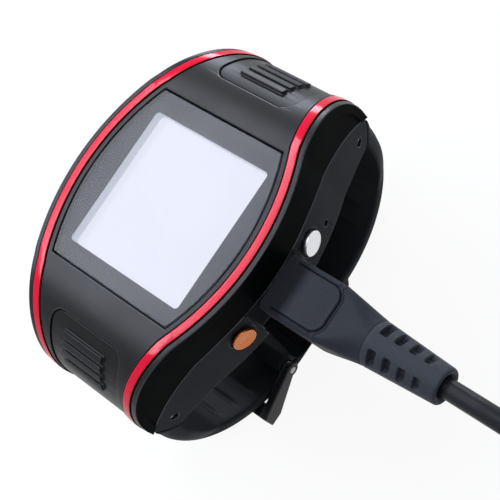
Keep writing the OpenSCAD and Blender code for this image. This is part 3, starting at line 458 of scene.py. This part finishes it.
def coil_point(t):
    """Point of the coil after a number of turns."""
    a = 2 * math.pi * t - math.pi / 2
    z = coil_z + coil_lift * swell((t - coil_in) / coil_climb)
    return (coil_mid[0] + coil_radius(t) * math.cos(a), coil_mid[1] + coil_radius(t) * math.sin(a), z)


def smooth_line(points, steps):
    """A curve through the points."""
    out = []
    for i in range(len(points) - 1):
        near = [points[min(max(i + k, 0), len(points) - 1)] for k in (-1, 0, 1, 2)]
        for k in range(steps):
            t = k / steps
            point = []
            for a, b, c, d in zip(*near):
                bent = (2 * a - 5 * b + 4 * c - d) * t * t + (3 * b - a - 3 * c + d) * t**3
                point.append(0.5 * (2 * b + (c - a) * t + bent))
            out.append(point)
    return out + [list(points[-1])]


coil = [coil_point(i / coil_points) for i in range(1, int(coil_turns * coil_points) + 1)]
cord_line = smooth_line(cord_route + coil + coil_end, 4)
curve = bpy.data.curves.new("charging_cord", "CURVE")
curve.dimensions = "3D"
spline = curve.splines.new("POLY")
spline.points.add(len(cord_line) - 1)
for point, at in zip(spline.points, cord_line):
    point.co = (*[c * MM for c in at], 1)
curve.bevel_depth = cord_d / 2 * MM
curve.bevel_resolution = 8
curve.use_fill_caps = True
curve.materials.append(finish["cord_jacket"])
cord = bpy.data.objects.new("charging_cord", curve)
scene.collection.objects.link(cord)
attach(cord, "charging_lead")
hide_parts("cord", "cord_coil")


# Hard pieces: the CAD shells with their edges broken
# Broken edges of the bezel and mid case take their lighter edge finish: painted highlights
bezel = rounded("front_bezel", 0.18, "bezel_plastic", edge="bezel_edge_highlight")
rounded("mid_case", 0.16, "mid_plastic", edge="mid_edge_highlight")
rounded("back_cover", 0.2, "cover_plastic")
trims = [rounded(name, 0.16, "trim_red") for name in ("trim_left", "trim_right")]
rounded("end_pad_12", 0.2, "pad_rubber")
rounded("end_pad_6", 0.2, "pad_rubber")
rounded("buckle_frame", 0.3, "buckle_metal", 3)
rounded("buckle_tongue", 0.2, "buckle_metal", 3)
rounded("plug_shell", 0.12, "shell_steel")
rounded("far_plug_shell", 0.12, "shell_steel")
rounded("back_screws", 0.12, "screw_steel")
rounded("spring_bars", 0.15, "pin_steel")

# The trims keep their red on their faces; their sides get the near-black flank finish, painted shade in the
# gaps beside them
trim_side = 0.7  # least part of X in the normal of a trim's side
for trim in trims:
    trim.data.materials.append(finish["flank_shade"])
    for f in trim.data.polygons:
        f.material_index = 1 if abs(f.normal.x) > trim_side else 0

# The bezel is satin in front, with a painted highlight on its broken edges there; its flanks and its deeper
# broken edges get a darker, barely glossy copy of its finish, painted shade
flank_side = 0.8  # least part of X in the normal of a flank
flank_end = 36.0  # from the middle
flank_bow_end = 30.0
flank_in = 3.0  # furthest from the bow
edge_deep = 1.0  # edges further below the front get that painted shade, not the painted highlight
bezel.data.materials.append(finish["flank_shade"])
for f in bezel.data.polygons:
    x, y, z = [c / MM for c in f.center]
    near_bow = arc_half(0, min(abs(y), flank_bow_end)) - abs(x) < flank_in
    side = abs(f.normal.x) > flank_side and abs(y) < flank_end and near_bow
    roll = min(max(abs(y) - nose_y, 0), nose_r)
    deep = stand_h - nose_r + math.sqrt(nose_r**2 - roll**2) - z > edge_deep
    if (side and f.material_index == 0) or (deep and f.material_index == 1):
        f.material_index = 2


# Buttons: turned caps on their stems, square to the bowed side
button_z = stand_h - 12.4
cap_r = 2.4
cap_back = wall_r + 0.1  # clear of the wall
cap_face = wall_r + 0.8
stem_r = 1.0
clip_r = 1.4  # collar behind the wall
clip_t = 0.4
clip_x = math.sqrt((side_r - 3.2) ** 2 - clip_r**2) - 0.5
cap_profile = [
    (clip_x, 0), (clip_x, clip_r - 0.1), (clip_x + 0.05, clip_r), (clip_x + clip_t, clip_r),
    (clip_x + clip_t, stem_r), (cap_back, stem_r), (cap_back, cap_r - 0.12),
    (cap_back + 0.04, cap_r - 0.04), (cap_back + 0.12, cap_r),
]
# Depth below the face and radius, over the rim, into the dished face and its dimple
cap_front = [
    (0.2, cap_r), (0.1, cap_r - 0.03), (0.03, cap_r - 0.1), (0, cap_r - 0.2), (0, cap_r - 0.3),
    (0.03, cap_r - 0.38), (0.04, cap_r - 0.5), (0.04, 0.5), (0.08, 0.34), (0.09, 0.2), (0.09, 0),
]
cap_profile += [(cap_face - depth, r) for depth, r in cap_front]
for name, y, slot, color, tint in (
    ("silver_button", 8.7, "button_silver", (0.74, 0.75, 0.78), 0.06),
    ("copper_button", -11.4, "button_copper", (0.5, 0.15, 0.045), 0.45),
):
    at_button = moved(-arc_x, 0, button_z) @ Matrix.Rotation(math.asin(y / wall_r), 4, "Z")
    middle = at_button @ Vector((cap_face * MM, 0, 0))
    look = surface(slot, color, 0.28, metal=1, depth=0.02, tint=tint, spun=middle)
    piece(name + "_cap", placed(revolve(cap_profile), at_button), name, slot, [name], look)


# Port flap: a moulded plate with a raised rim that fits round the port, on its hinge
def rim(w, h, bar, low, high, r=0.15, corner=0.7):
    """A raised rounded frame of the given outer size."""
    section = [(0, low), (0, high - r), (-2 * r, high)]
    section += [(-2 * bar + 2 * r, high), (-2 * bar, high - r), (-2 * bar, low)]
    loops = []
    for grow, z in section:
        bend = corner if grow > -bar else corner / 2
        loops.append([(x, y, z) for x, y in round_ring(w + grow, h + grow, bend)])
    return loft(loops, loop=True)


flap_y = -1.3
flap_w = 13.2
flap_l = 8.2
flap_t = 1.1
flap_lean = 1.2  # sideways, from the hinge to the free end
flap_corner = 1.4
flap_skew = -6  # degrees, square to the bowed side
flap_open = 45  # degrees below level
flap_recess = 1.2  # depth of the pocket in the mid case
hinge_out = 0.9  # hinge from the bottom of that pocket
hinge_up = 1.2  # hinge above the wrist side of the case
hinge_r = 0.6
hinge_half = 6.5
hinge_edge = 0.1
hinge_x = arc_half(mid_in, flap_y) - flap_recess + hinge_out
hinge_z = stand_h - case_t + hinge_up
at_flap = moved(hinge_x, flap_y, hinge_z) @ turned(flap_skew, "Z") @ turned(flap_open, "Y")
plate = slab(
    filleted([
        (-0.1, -flap_w / 2, 0.2), (flap_l, -flap_w / 2 - flap_lean, flap_corner),
        (flap_l, flap_w / 2 - flap_lean, flap_corner), (-0.1, flap_w / 2, 0.2),
    ]),
    -flap_t / 2, flap_t / 2, 0.3,
)
barrel_half = [(hinge_half, 0), (hinge_half, hinge_r - hinge_edge), (hinge_half - hinge_edge, hinge_r)]
barrel = revolve([(-x, r) for x, r in barrel_half] + barrel_half[::-1], 32)
lip = placed(rim(3.7, 8.0, 1.1, 0.4, 1.75), moved(4.1, 1.0, 0))
border = placed(rim(6.6, 10.6, 0.5, 0.4, 0.8, 0.1, 1.2), moved(4.2, -0.5, 0))
flap = joined(plate, placed(barrel, turned(90, "Z")), lip, border)
piece("port_flap_cover", placed(flap, at_flap), "port_flap", "flap_rubber", ["port_flap"])


# Micro plug: rounded sections along the lead, with a raised panel above and below
plug_x = 23.0
plug_l = 20.4
plug_flat = 12.0  # length before the taper to the strain relief
plug_w = 11.0
plug_t = 7.5
plug_r = 1.1  # edges along the flat part
plug_r_grow = 3.1
plug_lead = 0.35  # rounding of the front edge
strip_l = 2.1  # raised strip along the front
panel_l = 12.6
panel_half = 4.2
panel_r = 2.2
panel_rise = 0.32
panel_edge = 0.16
panel_lines = ((0.24, 0.16, 0.3), (0.72, 0.14, 0.22))  # place, half width and depth
fade_x = 17.5  # where the relief has died out
fade_l = 3
relief_r1 = 4.25
relief_r2 = 3.35


def panel_height(x, y):
    """Height of the plug's broad faces: a raised front strip and panel, with two fine lines round it."""
    d = min(corner_distance(x - panel_l, abs(y) - panel_half, panel_r), x - strip_l)
    groove = sum(max(0, 1 - abs(d - place) / half) * depth for place, half, depth in panel_lines)
    return (panel_rise * (1 - ease(d / panel_edge)) - groove) * ease((fade_x - x) / fade_l)


def plug_ring(x):
    """Cross section of the plug at a distance from its front."""
    u = max(0.0, (x - plug_flat) / (plug_l - plug_flat))
    lead = end_round(x, plug_lead)
    w = plug_w + (2 * relief_r1 - plug_w) * u - 2 * lead
    t = plug_t + (2 * relief_r1 - plug_t) * u - 2 * lead
    r = plug_r + plug_r_grow * ease(u)
    across, corner, side = 110, 8, 8
    half_y, half_z, out = w / 2 - r, t / 2 - r, []
    for top in (1, -1):
        for k in range(across + 1):
            y = top * (half_y - 2 * half_y * k / across)
            out.append((y, top * (t / 2 + panel_height(x, y))))
        for k in range(1, corner + side + corner):
            if k <= corner:
                a = math.radians(90 + 90 * k / corner)
                y, z = -half_y + r * math.cos(a), half_z + r * math.sin(a)
            elif k <= corner + side:
                y, z = -w / 2, half_z - 2 * half_z * (k - corner) / side
            else:
                a = math.radians(180 + 90 * (k - corner - side) / corner)
                y, z = -half_y + r * math.cos(a), -half_z + r * math.sin(a)
            drop = 0
            if abs(z) > half_z:
                drop = panel_height(x, half_y) * max(0, 1 - abs(abs(z) - t / 2) / r) ** 2
            out.append((top * y, top * (z + math.copysign(drop, z))))
    return [(plug_x + x, port_y + y, port_level + z) for y, z in out]


stations = [0, 0.04, 0.1, 0.2, plug_lead]
stations += [plug_lead + 0.1 * i for i in range(1, 170)]
stations += [fade_x + 0.36 * i for i in range(9)]
grip = loft([plug_ring(x) for x in stations])
piece("plug_grip", grip, "charging_lead", "plug_grip", ["plug_body"], sharp=70)


# Strain relief: a tapered sleeve with four rows of windows down to its core, and a mouth round the cord
relief_l = 14.2
relief_sides = 176
window_rows = 4
window_pitch = 2.95
window_half = 0.75  # along the lead
window_r = 0.35
window_edge = 0.22
bridge_w = 3.0  # between the windows of a row
core_r = 2.75
seam_x = 0.25  # shallow groove where the sleeve meets the plug
seam_half = 0.2
seam_depth = 0.12
mouth = [
    (14.1, 3.36), (14.35, 3.3), (14.55, 3.16), (14.65, 2.95), (14.6, 2.7), (14.45, 2.4), (14.2, 2.15),
    (13.8, 1.95), (13.2, 1.85),
]


def sleeve_ring(x, radii):
    """Ring of the sleeve at a distance from its start, with a radius for each point."""
    out = []
    for k, r in enumerate(radii):
        a = 2 * math.pi * k / relief_sides
        out.append((plug_x + plug_l + x, port_y + r * math.cos(a), port_level + r * math.sin(a)))
    return out


def relief_radii(x):
    r = relief_r1 + (relief_r2 - relief_r1) * x / relief_l
    half_w = (math.pi / 2 * r - bridge_w) / 2
    row = min(window_rows - 1, max(0, round((x + window_half) / window_pitch - 1)))
    past_end = abs(x - (row + 1) * window_pitch + window_half) - window_half
    seam = seam_depth * math.exp(-(((x - seam_x) / seam_half) ** 2))
    out = []
    for k in range(relief_sides):
        off = abs(360 * k / relief_sides % 90 - 45)
        d = corner_distance(past_end, math.radians(off) * r - half_w, window_r)
        out.append(r - (r - core_r) * ease(0.15 - d / window_edge) - seam)
    return out


sleeve = [sleeve_ring(0.1 * i, relief_radii(0.1 * i)) for i in range(140)]
sleeve += [sleeve_ring(x, [r] * relief_sides) for x, r in mouth]
piece(
    "relief_sleeve", loft(sleeve), "charging_lead", "plug_grip", ["strain_relief"],
    finish["relief_grip"], sharp=70,
)


# Straps: a side outline drawn across the width, with rounded edges
strap_edge = 0.6
groove_depth = 0.3
groove_half = 0.7
groove_near = 0.3  # furthest that a point of the inner face lies from its radius
groove_end = 9.6  # from the middle of the strap
groove_fade = 0.8
shoulder_z = 13.0  # where the strap starts to widen below its lugs
shoulder_top = 33.3
shoulder_grow = 13  # height over which it widens
shoulder_thick = 1.4  # by which it gets thicker there
shoulder_gap = 0.25  # below the lugs
shoulder_rings = 40


def strap(outline, width, warp=None, grooves=None):
    """A strap from its outline seen from the side, with a warp of its length and grooves where given."""
    line = anticlockwise(filleted(outline, 0.4))
    half = [(width / 2 - strap_edge * (1 - math.cos(a)), strap_edge * (1 - math.sin(a))) for a in quarter(5)]
    half += [(width / 2 - strap_edge - i, 0) for i in range(1, int(width / 2 - strap_edge) + 1)]
    rings = []
    for x, d in [(-x, d) for x, d in half] + half[::-1]:
        ring = []
        for p, q in zip(inset(line, d), line):
            y, z = p
            if grooves:
                y, z = Vector((y, z)) + grooves(x, q)
            if warp:
                y = warp(x, y)
            ring.append((x, y, z))
        rings.append(ring)
    return loft(rings)


def cut(obj, *cutters, operation="DIFFERENCE"):
    """Takes closed cutter meshes out of a piece, or adds them to it."""
    for mesh in cutters:
        tool = bpy.data.objects.new("cutter", mesh)
        scene.collection.objects.link(tool)
        boolean = obj.modifiers.new("cut", "BOOLEAN")
        boolean.operation = operation
        boolean.solver = "EXACT"
        boolean.object = tool
        made = bpy.data.meshes.new_from_object(obj.evaluated_get(bpy.context.evaluated_depsgraph_get()))
        obj.modifiers.remove(boolean)
        old = obj.data
        obj.data = made
        bpy.data.meshes.remove(old)
        bpy.data.objects.remove(tool)
    obj.data.set_sharp_from_angle(angle=math.radians(50))


def cross_grooves(centre, angles, radius):
    """Shallow grooves across the inner face of a bend."""

    def shift(x, q):
        arm = Vector((q.x - centre[0], q.y - centre[1]))
        if abs(arm.length - radius) > groove_near:
            return Vector((0, 0))
        a = math.degrees(math.atan2(arm.y, arm.x))
        d = min(abs((a - g + 180) % 360 - 180) for g in angles) * math.radians(1) * radius
        depth = groove_depth * (1 - ease(d / groove_half)) * ease((groove_end - abs(x)) / groove_fade)
        return arm.normalized() * depth

    return shift


def under_bezel(y):
    """Level just below the parting line of bezel and mid case."""
    return stand_h - front_h - part_r + math.sqrt(part_r**2 - (y - part_y) ** 2) - loose


def strap_end(side):
    """Outline of a strap's end round its spring bar, from the inner face over the top to the outer face."""
    low, high = pin_z - eye_r, pin_z + eye_r
    heel, brow = reach_y - 3.0, reach_y - 0.7
    return [
        (side * (reach_y - strap_t), low, 0.9), (side * (pin_y - eye_r), low, 2.7),
        (side * (pin_y - eye_r), high, 2.7), (side * heel, high, 1.2), (side * brow, under_bezel(brow), 1.0),
        (side * reach_y, pin_z - eye_r / 3, 3),
    ]


def shoulder(side, bend_r):
    """Wide part of a strap below its lugs, in line with the tapered sides of the case end."""
    skin = 0.05  # below the strap's outer face
    lap = 0.1  # into its inner face and sides
    bend_y = reach_y - bend_r
    clear_r = lug_r + shoulder_gap
    rings = []
    for i in range(shoulder_rings + 1):
        z = shoulder_z + (shoulder_top - shoulder_z) * i / shoulder_rings
        drop = max(0, bend_z - z)
        grown = ease((z - shoulder_z) / shoulder_grow)
        outer = bend_y + math.sqrt(bend_r**2 - drop**2) - skin
        inner = bend_y + math.sqrt((bend_r - strap_t + lap - shoulder_thick * grown) ** 2 - drop**2)
        under = lug_z - z
        if under < clear_r:
            inner = max(inner, lug_y + math.sqrt(clear_r**2 - under**2))
        corners = []
        for y, share in ((inner, 0.15), (outer, 0.7)):
            taper = flare_x - flare_slope * (y - flare_y) - strap_w / 2
            corners.append((strap_w / 2 - lap + taper * grown, y, share * (outer - inner)))
        (x0, y0, r0), (x1, y1, r1) = corners
        ring = filleted([(-x0, y0, r0), (x0, y0, r0), (x1, y1, r1), (-x1, y1, r1)], 2 * strap_w)
        rings.append([(q.x, side * q.y, z) for q in ring])
    return loft(rings)


upper_out = bend_z - upper_r  # level of the outer face under the wrist
upper_in = upper_out + strap_t
strap_12 = piece(
    "strap_upper",
    strap(
        [(-12.8, 4.3, 1.75), (-12.8, 7.9, 1.75), (-9.6, 7.9, 1.2), (-6.2, upper_in, 2)]
        + [(reach_y - strap_t, upper_in, upper_r - strap_t)]
        + strap_end(1)
        + [(reach_y, upper_out, upper_r), (-7.6, upper_out, 1.2), (-9, 4.3, 1)],
        strap_w,
        grooves=cross_grooves((reach_y - upper_r, bend_z), (-18, -29, -40, -51, -62), upper_r - strap_t),
    ),
    "watch", "strap_rubber", ["strap_12"], sharp=50,
)

tail_y = 12  # tip of the lower strap
tail_r = 4  # corners of that tip, seen from below
tail_straight = 4  # where the warp of the tip starts


def rounded_tip(x, y):
    """Draws in the corners of the lower strap's tip."""
    corner = max(0, abs(x) - strap_w / 2 + tail_r)
    reach = tail_y - tail_r + math.sqrt(max(0, tail_r**2 - corner**2))
    if y < tail_straight:
        return y
    return tail_straight + (y - tail_straight) * (reach - tail_straight) / (tail_y - tail_straight)


lower_out = bend_z - lower_r
lower_in = lower_out + strap_t
strap_6 = piece(
    "strap_lower",
    strap(
        [(tail_y, lower_out, 0.9), (tail_y, lower_in, 0.9), (strap_t - reach_y, lower_in, lower_r - strap_t)]
        + strap_end(-1)
        + [(-reach_y, lower_out, lower_r)],
        strap_w,
        warp=rounded_tip,
        grooves=cross_grooves((lower_r - reach_y, bend_z), (198, 209, 220, 231, 242), lower_r - strap_t),
    ),
    "watch", "strap_rubber", ["strap_6"], sharp=50,
)
slot_w = 2.8
slot_l = 9.0
slots = []
for y in (-14.1, -3.6, 6.9):
    slots.append(upright([(px, py + y) for px, py in round_ring(slot_w, slot_l, slot_w / 2, 8)], -1, 6.0))
cut(strap_6, *slots)
cut(strap_6, shoulder(-1, lower_r), operation="UNION")
cut(strap_12, shoulder(1, upper_r), operation="UNION")
# Gap in the upper strap's end for the buckle's tongue
cut(strap_12, upright([(-1.4, -14), (1.4, -14), (1.4, -8.9), (-1.4, -8.9)], 2, 10))


# Keepers: soft rounded loops
keeper_w = 27
keeper_h = 7.7
keeper_t = 1.2
keeper_r = 1.6
keeper_hole_r = 0.9
keeper_edge = 0.45


def keeper(y, length):
    """A loop about the Y axis, drawn as rings that run round it outside and inside."""
    out = [(keeper_edge * (1 - math.sin(a)), keeper_edge * (1 - math.cos(a))) for a in quarter(4)]
    loops = []
    for side in (-1, 1):
        steps = [(-2 * d, y + side * (length / 2 - e)) for d, e in out[::-1]]
        hole = [(2 * d - 2 * keeper_t, y + side * (length / 2 - e)) for d, e in out]
        loops += (steps + hole) if side < 0 else (hole[::-1] + steps[::-1])
    rings = []
    for grow, at in loops:
        bend = keeper_r if grow > -keeper_t else keeper_hole_r
        ring = round_ring(keeper_w + grow, keeper_h + grow, bend)
        rings.append([(px, at, keeper_h / 2 + pz) for px, pz in ring])
    return loft(rings, loop=True)


for name, node, body in (
    ("keeper_fixed", "fixed_keeper", "watch"),
    ("keeper_free", "free_keeper", "free_keeper"),
):
    low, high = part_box(node)
    piece(name, keeper((low.y + high.y) / 2 / MM, (high.y - low.y) / MM), body, "strap_rubber", [node])


# Far plug: a moulded grip that swells from the cord, ribbed at its sides
far_l = 24
far_w = 15.4
far_t = 7.6
far_r = 2.0
far_edge = 0.5
neck_d = 5.4
neck_r = 2.65
neck_l = 6.5
rib_depth = 0.45
rib_pitch = 1.9
rib_from = 8.5
rib_to = 18
dish_depth = 0.25
dish_mid = 15
dish_half_l = 5.8
dish_half_w = 4.2
dish_edge = 0.8


def far_ring(y):
    """Cross section of the far plug's grip, at a distance from the cord."""
    u = ease(y / neck_l)
    r = neck_r + (far_r - neck_r) * u
    rib = 0
    if rib_from < y < rib_to:
        rib = rib_depth * max(0, math.sin((y - rib_from) / rib_pitch * math.pi * 2))
    ends = end_round(far_l - y, far_edge) + end_round(y, far_edge)
    w = neck_d + (far_w - neck_d) * u - 2 * (ends + rib)
    t = neck_d + (far_t - neck_d) * u - 2 * ends
    along = dish_depth * ease((dish_half_l - abs(y - dish_mid)) / dish_edge)
    end_x, end_y, end_z = coil_end[-1]
    out = []
    for px, pz in round_ring(w, t, r, 8):
        flat = abs(px) < w / 2 - r
        dish = along * ease((dish_half_w - abs(px)) / dish_edge) if flat else 0
        out.append((end_x - y, end_y + px, end_z + pz - math.copysign(dish, pz)))
    return out


far_stations = [0, 0.05, 0.15, 0.3, far_edge]
far_stations += [far_edge + 0.2 * i for i in range(1, 116)]
far_stations += [23.7, 23.85, 23.95, far_l]
far_mesh = loft([far_ring(y) for y in far_stations])
far_grip = piece("far_plug_grip", far_mesh, "charging_lead", "plug_grip", ["far_plug_body"], sharp=70)

# Tie: a wrapped band round the coil, with its end laid on top
band_r = 1.6
band_hole_r = 0.9
band_half = [(0, 3.7), (-0.15, 3.95), (-1.45, 3.95), (-1.6, 3.7)]  # growth and place across, from outside
low, high = [Vector(c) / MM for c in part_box("coil_tie")]
mid, size = (low + high) / 2, high - low
loops = []
for grow, y in [(grow, -y) for grow, y in band_half] + band_half[::-1]:
    ring = round_ring(size.x + grow, size.z + grow, band_r if grow > -1 else band_hole_r)
    loops.append([(mid.x + px, mid.y + y, mid.z + pz) for px, pz in ring])
band = loft(loops, loop=True)
tab = slab(filleted([(-5.5, -4, 0.3), (4.5, -4, 2), (4.5, 4, 2), (-5.5, 4, 0.3)]), 0, 0.7, 0.2)
wrapped = joined(band, placed(tab, moved(mid.x, mid.y, high.z - 0.1)))
tie = piece("cord_tie", wrapped, "charging_lead", "tie_band", ["coil_tie"])


# Lens: clear, with the soft sheen of its hard coat; display: a white panel whose white is a glow, painted
# light
def lens_look():
    mat = bpy.data.materials.new("lens_glass")
    mat.use_nodes = True
    tree, link = mat.node_tree.nodes, mat.node_tree.links.new
    tree.remove(tree["Principled BSDF"])
    clear = tree.new("ShaderNodeBsdfTransparent")
    clear.inputs["Color"].default_value = (0.97, 0.975, 0.985, 1)
    sheen = tree.new("ShaderNodeBsdfGlossy")
    place = tree.new("ShaderNodeTexCoord")
    smear = tree.new("ShaderNodeTexNoise")
    smear.inputs["Scale"].default_value = 90
    smear.inputs["Detail"].default_value = 5
    link(place.outputs["Object"], smear.inputs["Vector"])
    gloss = tree.new("ShaderNodeMapRange")
    gloss.inputs["To Min"].default_value = 0.24
    gloss.inputs["To Max"].default_value = 0.3
    link(smear.outputs["Fac"], gloss.inputs["Value"])
    link(gloss.outputs["Result"], sheen.inputs["Roughness"])
    fresnel = tree.new("ShaderNodeFresnel")
    fresnel.inputs["IOR"].default_value = 1.31
    face = tree.new("ShaderNodeNewGeometry")
    outer = tree.new("ShaderNodeMath")
    outer.operation = "SUBTRACT"
    outer.use_clamp = True
    link(fresnel.outputs["Fac"], outer.inputs[0])
    link(face.outputs["Backfacing"], outer.inputs[1])
    mixed = tree.new("ShaderNodeMixShader")
    link(outer.outputs[0], mixed.inputs[0])
    link(clear.outputs["BSDF"], mixed.inputs[1])
    link(sheen.outputs["BSDF"], mixed.inputs[2])
    link(mixed.outputs["Shader"], tree["Material Output"].inputs["Surface"])
    return mat


def display_look():
    mat = surface("display", (0.05, 0.05, 0.055), 0.5, spec=0.1, tint=0.02)
    tree, link = mat.node_tree.nodes, mat.node_tree.links.new
    shader = tree["Principled BSDF"]
    place, haze, ramp = (tree.new(k) for k in ("ShaderNodeTexCoord", "ShaderNodeTexNoise", "ShaderNodeMix"))
    haze.inputs["Scale"].default_value = 30
    ramp.data_type = "RGBA"
    ramp.inputs[6].default_value = (0.86, 0.87, 1, 1)
    ramp.inputs[7].default_value = (0.92, 0.93, 1, 1)
    link(place.outputs["Object"], haze.inputs["Vector"])
    link(haze.outputs["Fac"], ramp.inputs[0])
    link(ramp.outputs[2], shader.inputs["Emission Color"])
    # The display's white comes from this glow over a dark base: painted light in place of the light it would
    # reflect
    shader.inputs["Emission Strength"].default_value = 0.72
    return mat


finish["lens_glass"] = lens_look()
finish["display"] = display_look()
rounded("lens", 0.16, "lens_glass")

# CAD nodes that show as they are, each in its own finish
slot_of = {
    "lens_mask": "lens_print", "lens_gasket": "seal_rubber", "display_frame": "frame_white",
    "display_module": "display", "display_flex": "flex", "back_gasket": "gasket_red",
    "button_seals": "seal_rubber", "tact_switches": "switch", "usb_receptacle": "port_steel",
    "main_board": "board", "shield_can": "can_steel", "battery": "battery_foil",
    "gps_antenna": "antenna_ceramic", "radio_antenna": "inner_dark", "speaker": "inner_dark",
    "microphone": "contact_gold", "vibration_motor": "motor_steel", "buckle_bar": "pin_steel",
    "far_plug_insulator": "insulator",
}
for node, slot in slot_of.items():
    nodes[node].data.materials.clear()
    nodes[node].data.materials.append(finish[slot])


# Stage: a pale floor that keeps the shadow, a white surround and three soft lamps
floor_half = 4000


def seen(tree, link):
    """1 for rays from the camera and for those that a shiny or clear face sends on."""
    path = tree.new("ShaderNodeLightPath")
    first, both = tree.new("ShaderNodeMath"), tree.new("ShaderNodeMath")
    first.operation = both.operation = "MAXIMUM"
    link(path.outputs["Is Camera Ray"], first.inputs[0])
    link(path.outputs["Is Glossy Ray"], first.inputs[1])
    link(first.outputs[0], both.inputs[0])
    link(path.outputs["Is Transmission Ray"], both.inputs[1])
    return both.outputs[0]


corners = [(x * floor_half, y * floor_half, 0) for x, y in ((-1, -1), (1, -1), (1, 1), (-1, 1))]
floor = bpy.data.objects.new("floor", shape(corners, [(0, 1, 2, 3)]))
scene.collection.objects.link(floor)
paper = bpy.data.materials.new("floor")
paper.use_nodes = True
tree, link = paper.node_tree.nodes, paper.node_tree.links.new
tree.remove(tree["Principled BSDF"])
matte, glow = tree.new("ShaderNodeBsdfDiffuse"), tree.new("ShaderNodeEmission")
mixed, share = tree.new("ShaderNodeMixShader"), tree.new("ShaderNodeMath")
matte.inputs["Color"].default_value = (0.9, 0.9, 0.9, 1)
share.operation = "MULTIPLY"
share.inputs[1].default_value = 0.92
link(seen(tree, link), share.inputs[0])
link(share.outputs[0], mixed.inputs[0])
link(matte.outputs["BSDF"], mixed.inputs[1])
link(glow.outputs["Emission"], mixed.inputs[2])
link(mixed.outputs["Shader"], tree["Material Output"].inputs["Surface"])
floor.data.materials.append(paper)

world = bpy.data.worlds.new("world")
scene.world = world
world.use_nodes = True
tree, link = world.node_tree.nodes, world.node_tree.links.new
fill, white, mixed = tree["Background"], tree.new("ShaderNodeBackground"), tree.new("ShaderNodeMixShader")
fill.inputs["Color"].default_value = (0.93, 0.96, 1, 1)
fill.inputs["Strength"].default_value = 0.15
white.inputs["Color"].default_value = (1, 1, 1, 1)
link(seen(tree, link), mixed.inputs[0])
link(fill.outputs["Background"], mixed.inputs[1])
link(white.outputs["Background"], mixed.inputs[2])
link(mixed.outputs["Shader"], tree["World Output"].inputs["Surface"])


def lamp(name, toward, distance, size, radiance):
    """A soft lamp that faces the lens from a direction; distance and sides are in metres."""
    data = bpy.data.lights.new(name, "AREA")
    data.shape = "RECTANGLE"
    data.size, data.size_y = size
    data.energy = radiance * 4 * data.size * data.size_y
    data.color = (0.82, 0.87, 1)
    obj = bpy.data.objects.new(name, data)
    scene.collection.objects.link(obj)
    away = Vector(toward).normalized()
    obj.location = Vector((0, 0, stand_h * MM)) + away * distance
    obj.rotation_mode = "QUATERNION"
    obj.rotation_quaternion = away.to_track_quat("Z", "Y")


lamp("key", (-0.6, 0.02, 0.8), 0.6, (0.72, 0.11), 17.0)
lamp("rear", (-0.56, 0.82, 0.02), 0.7, (0.42, 0.12), 15.0)
lamp("top", (0.25, 0.1, 0.96), 0.7, (0.4, 0.4), 3.4)
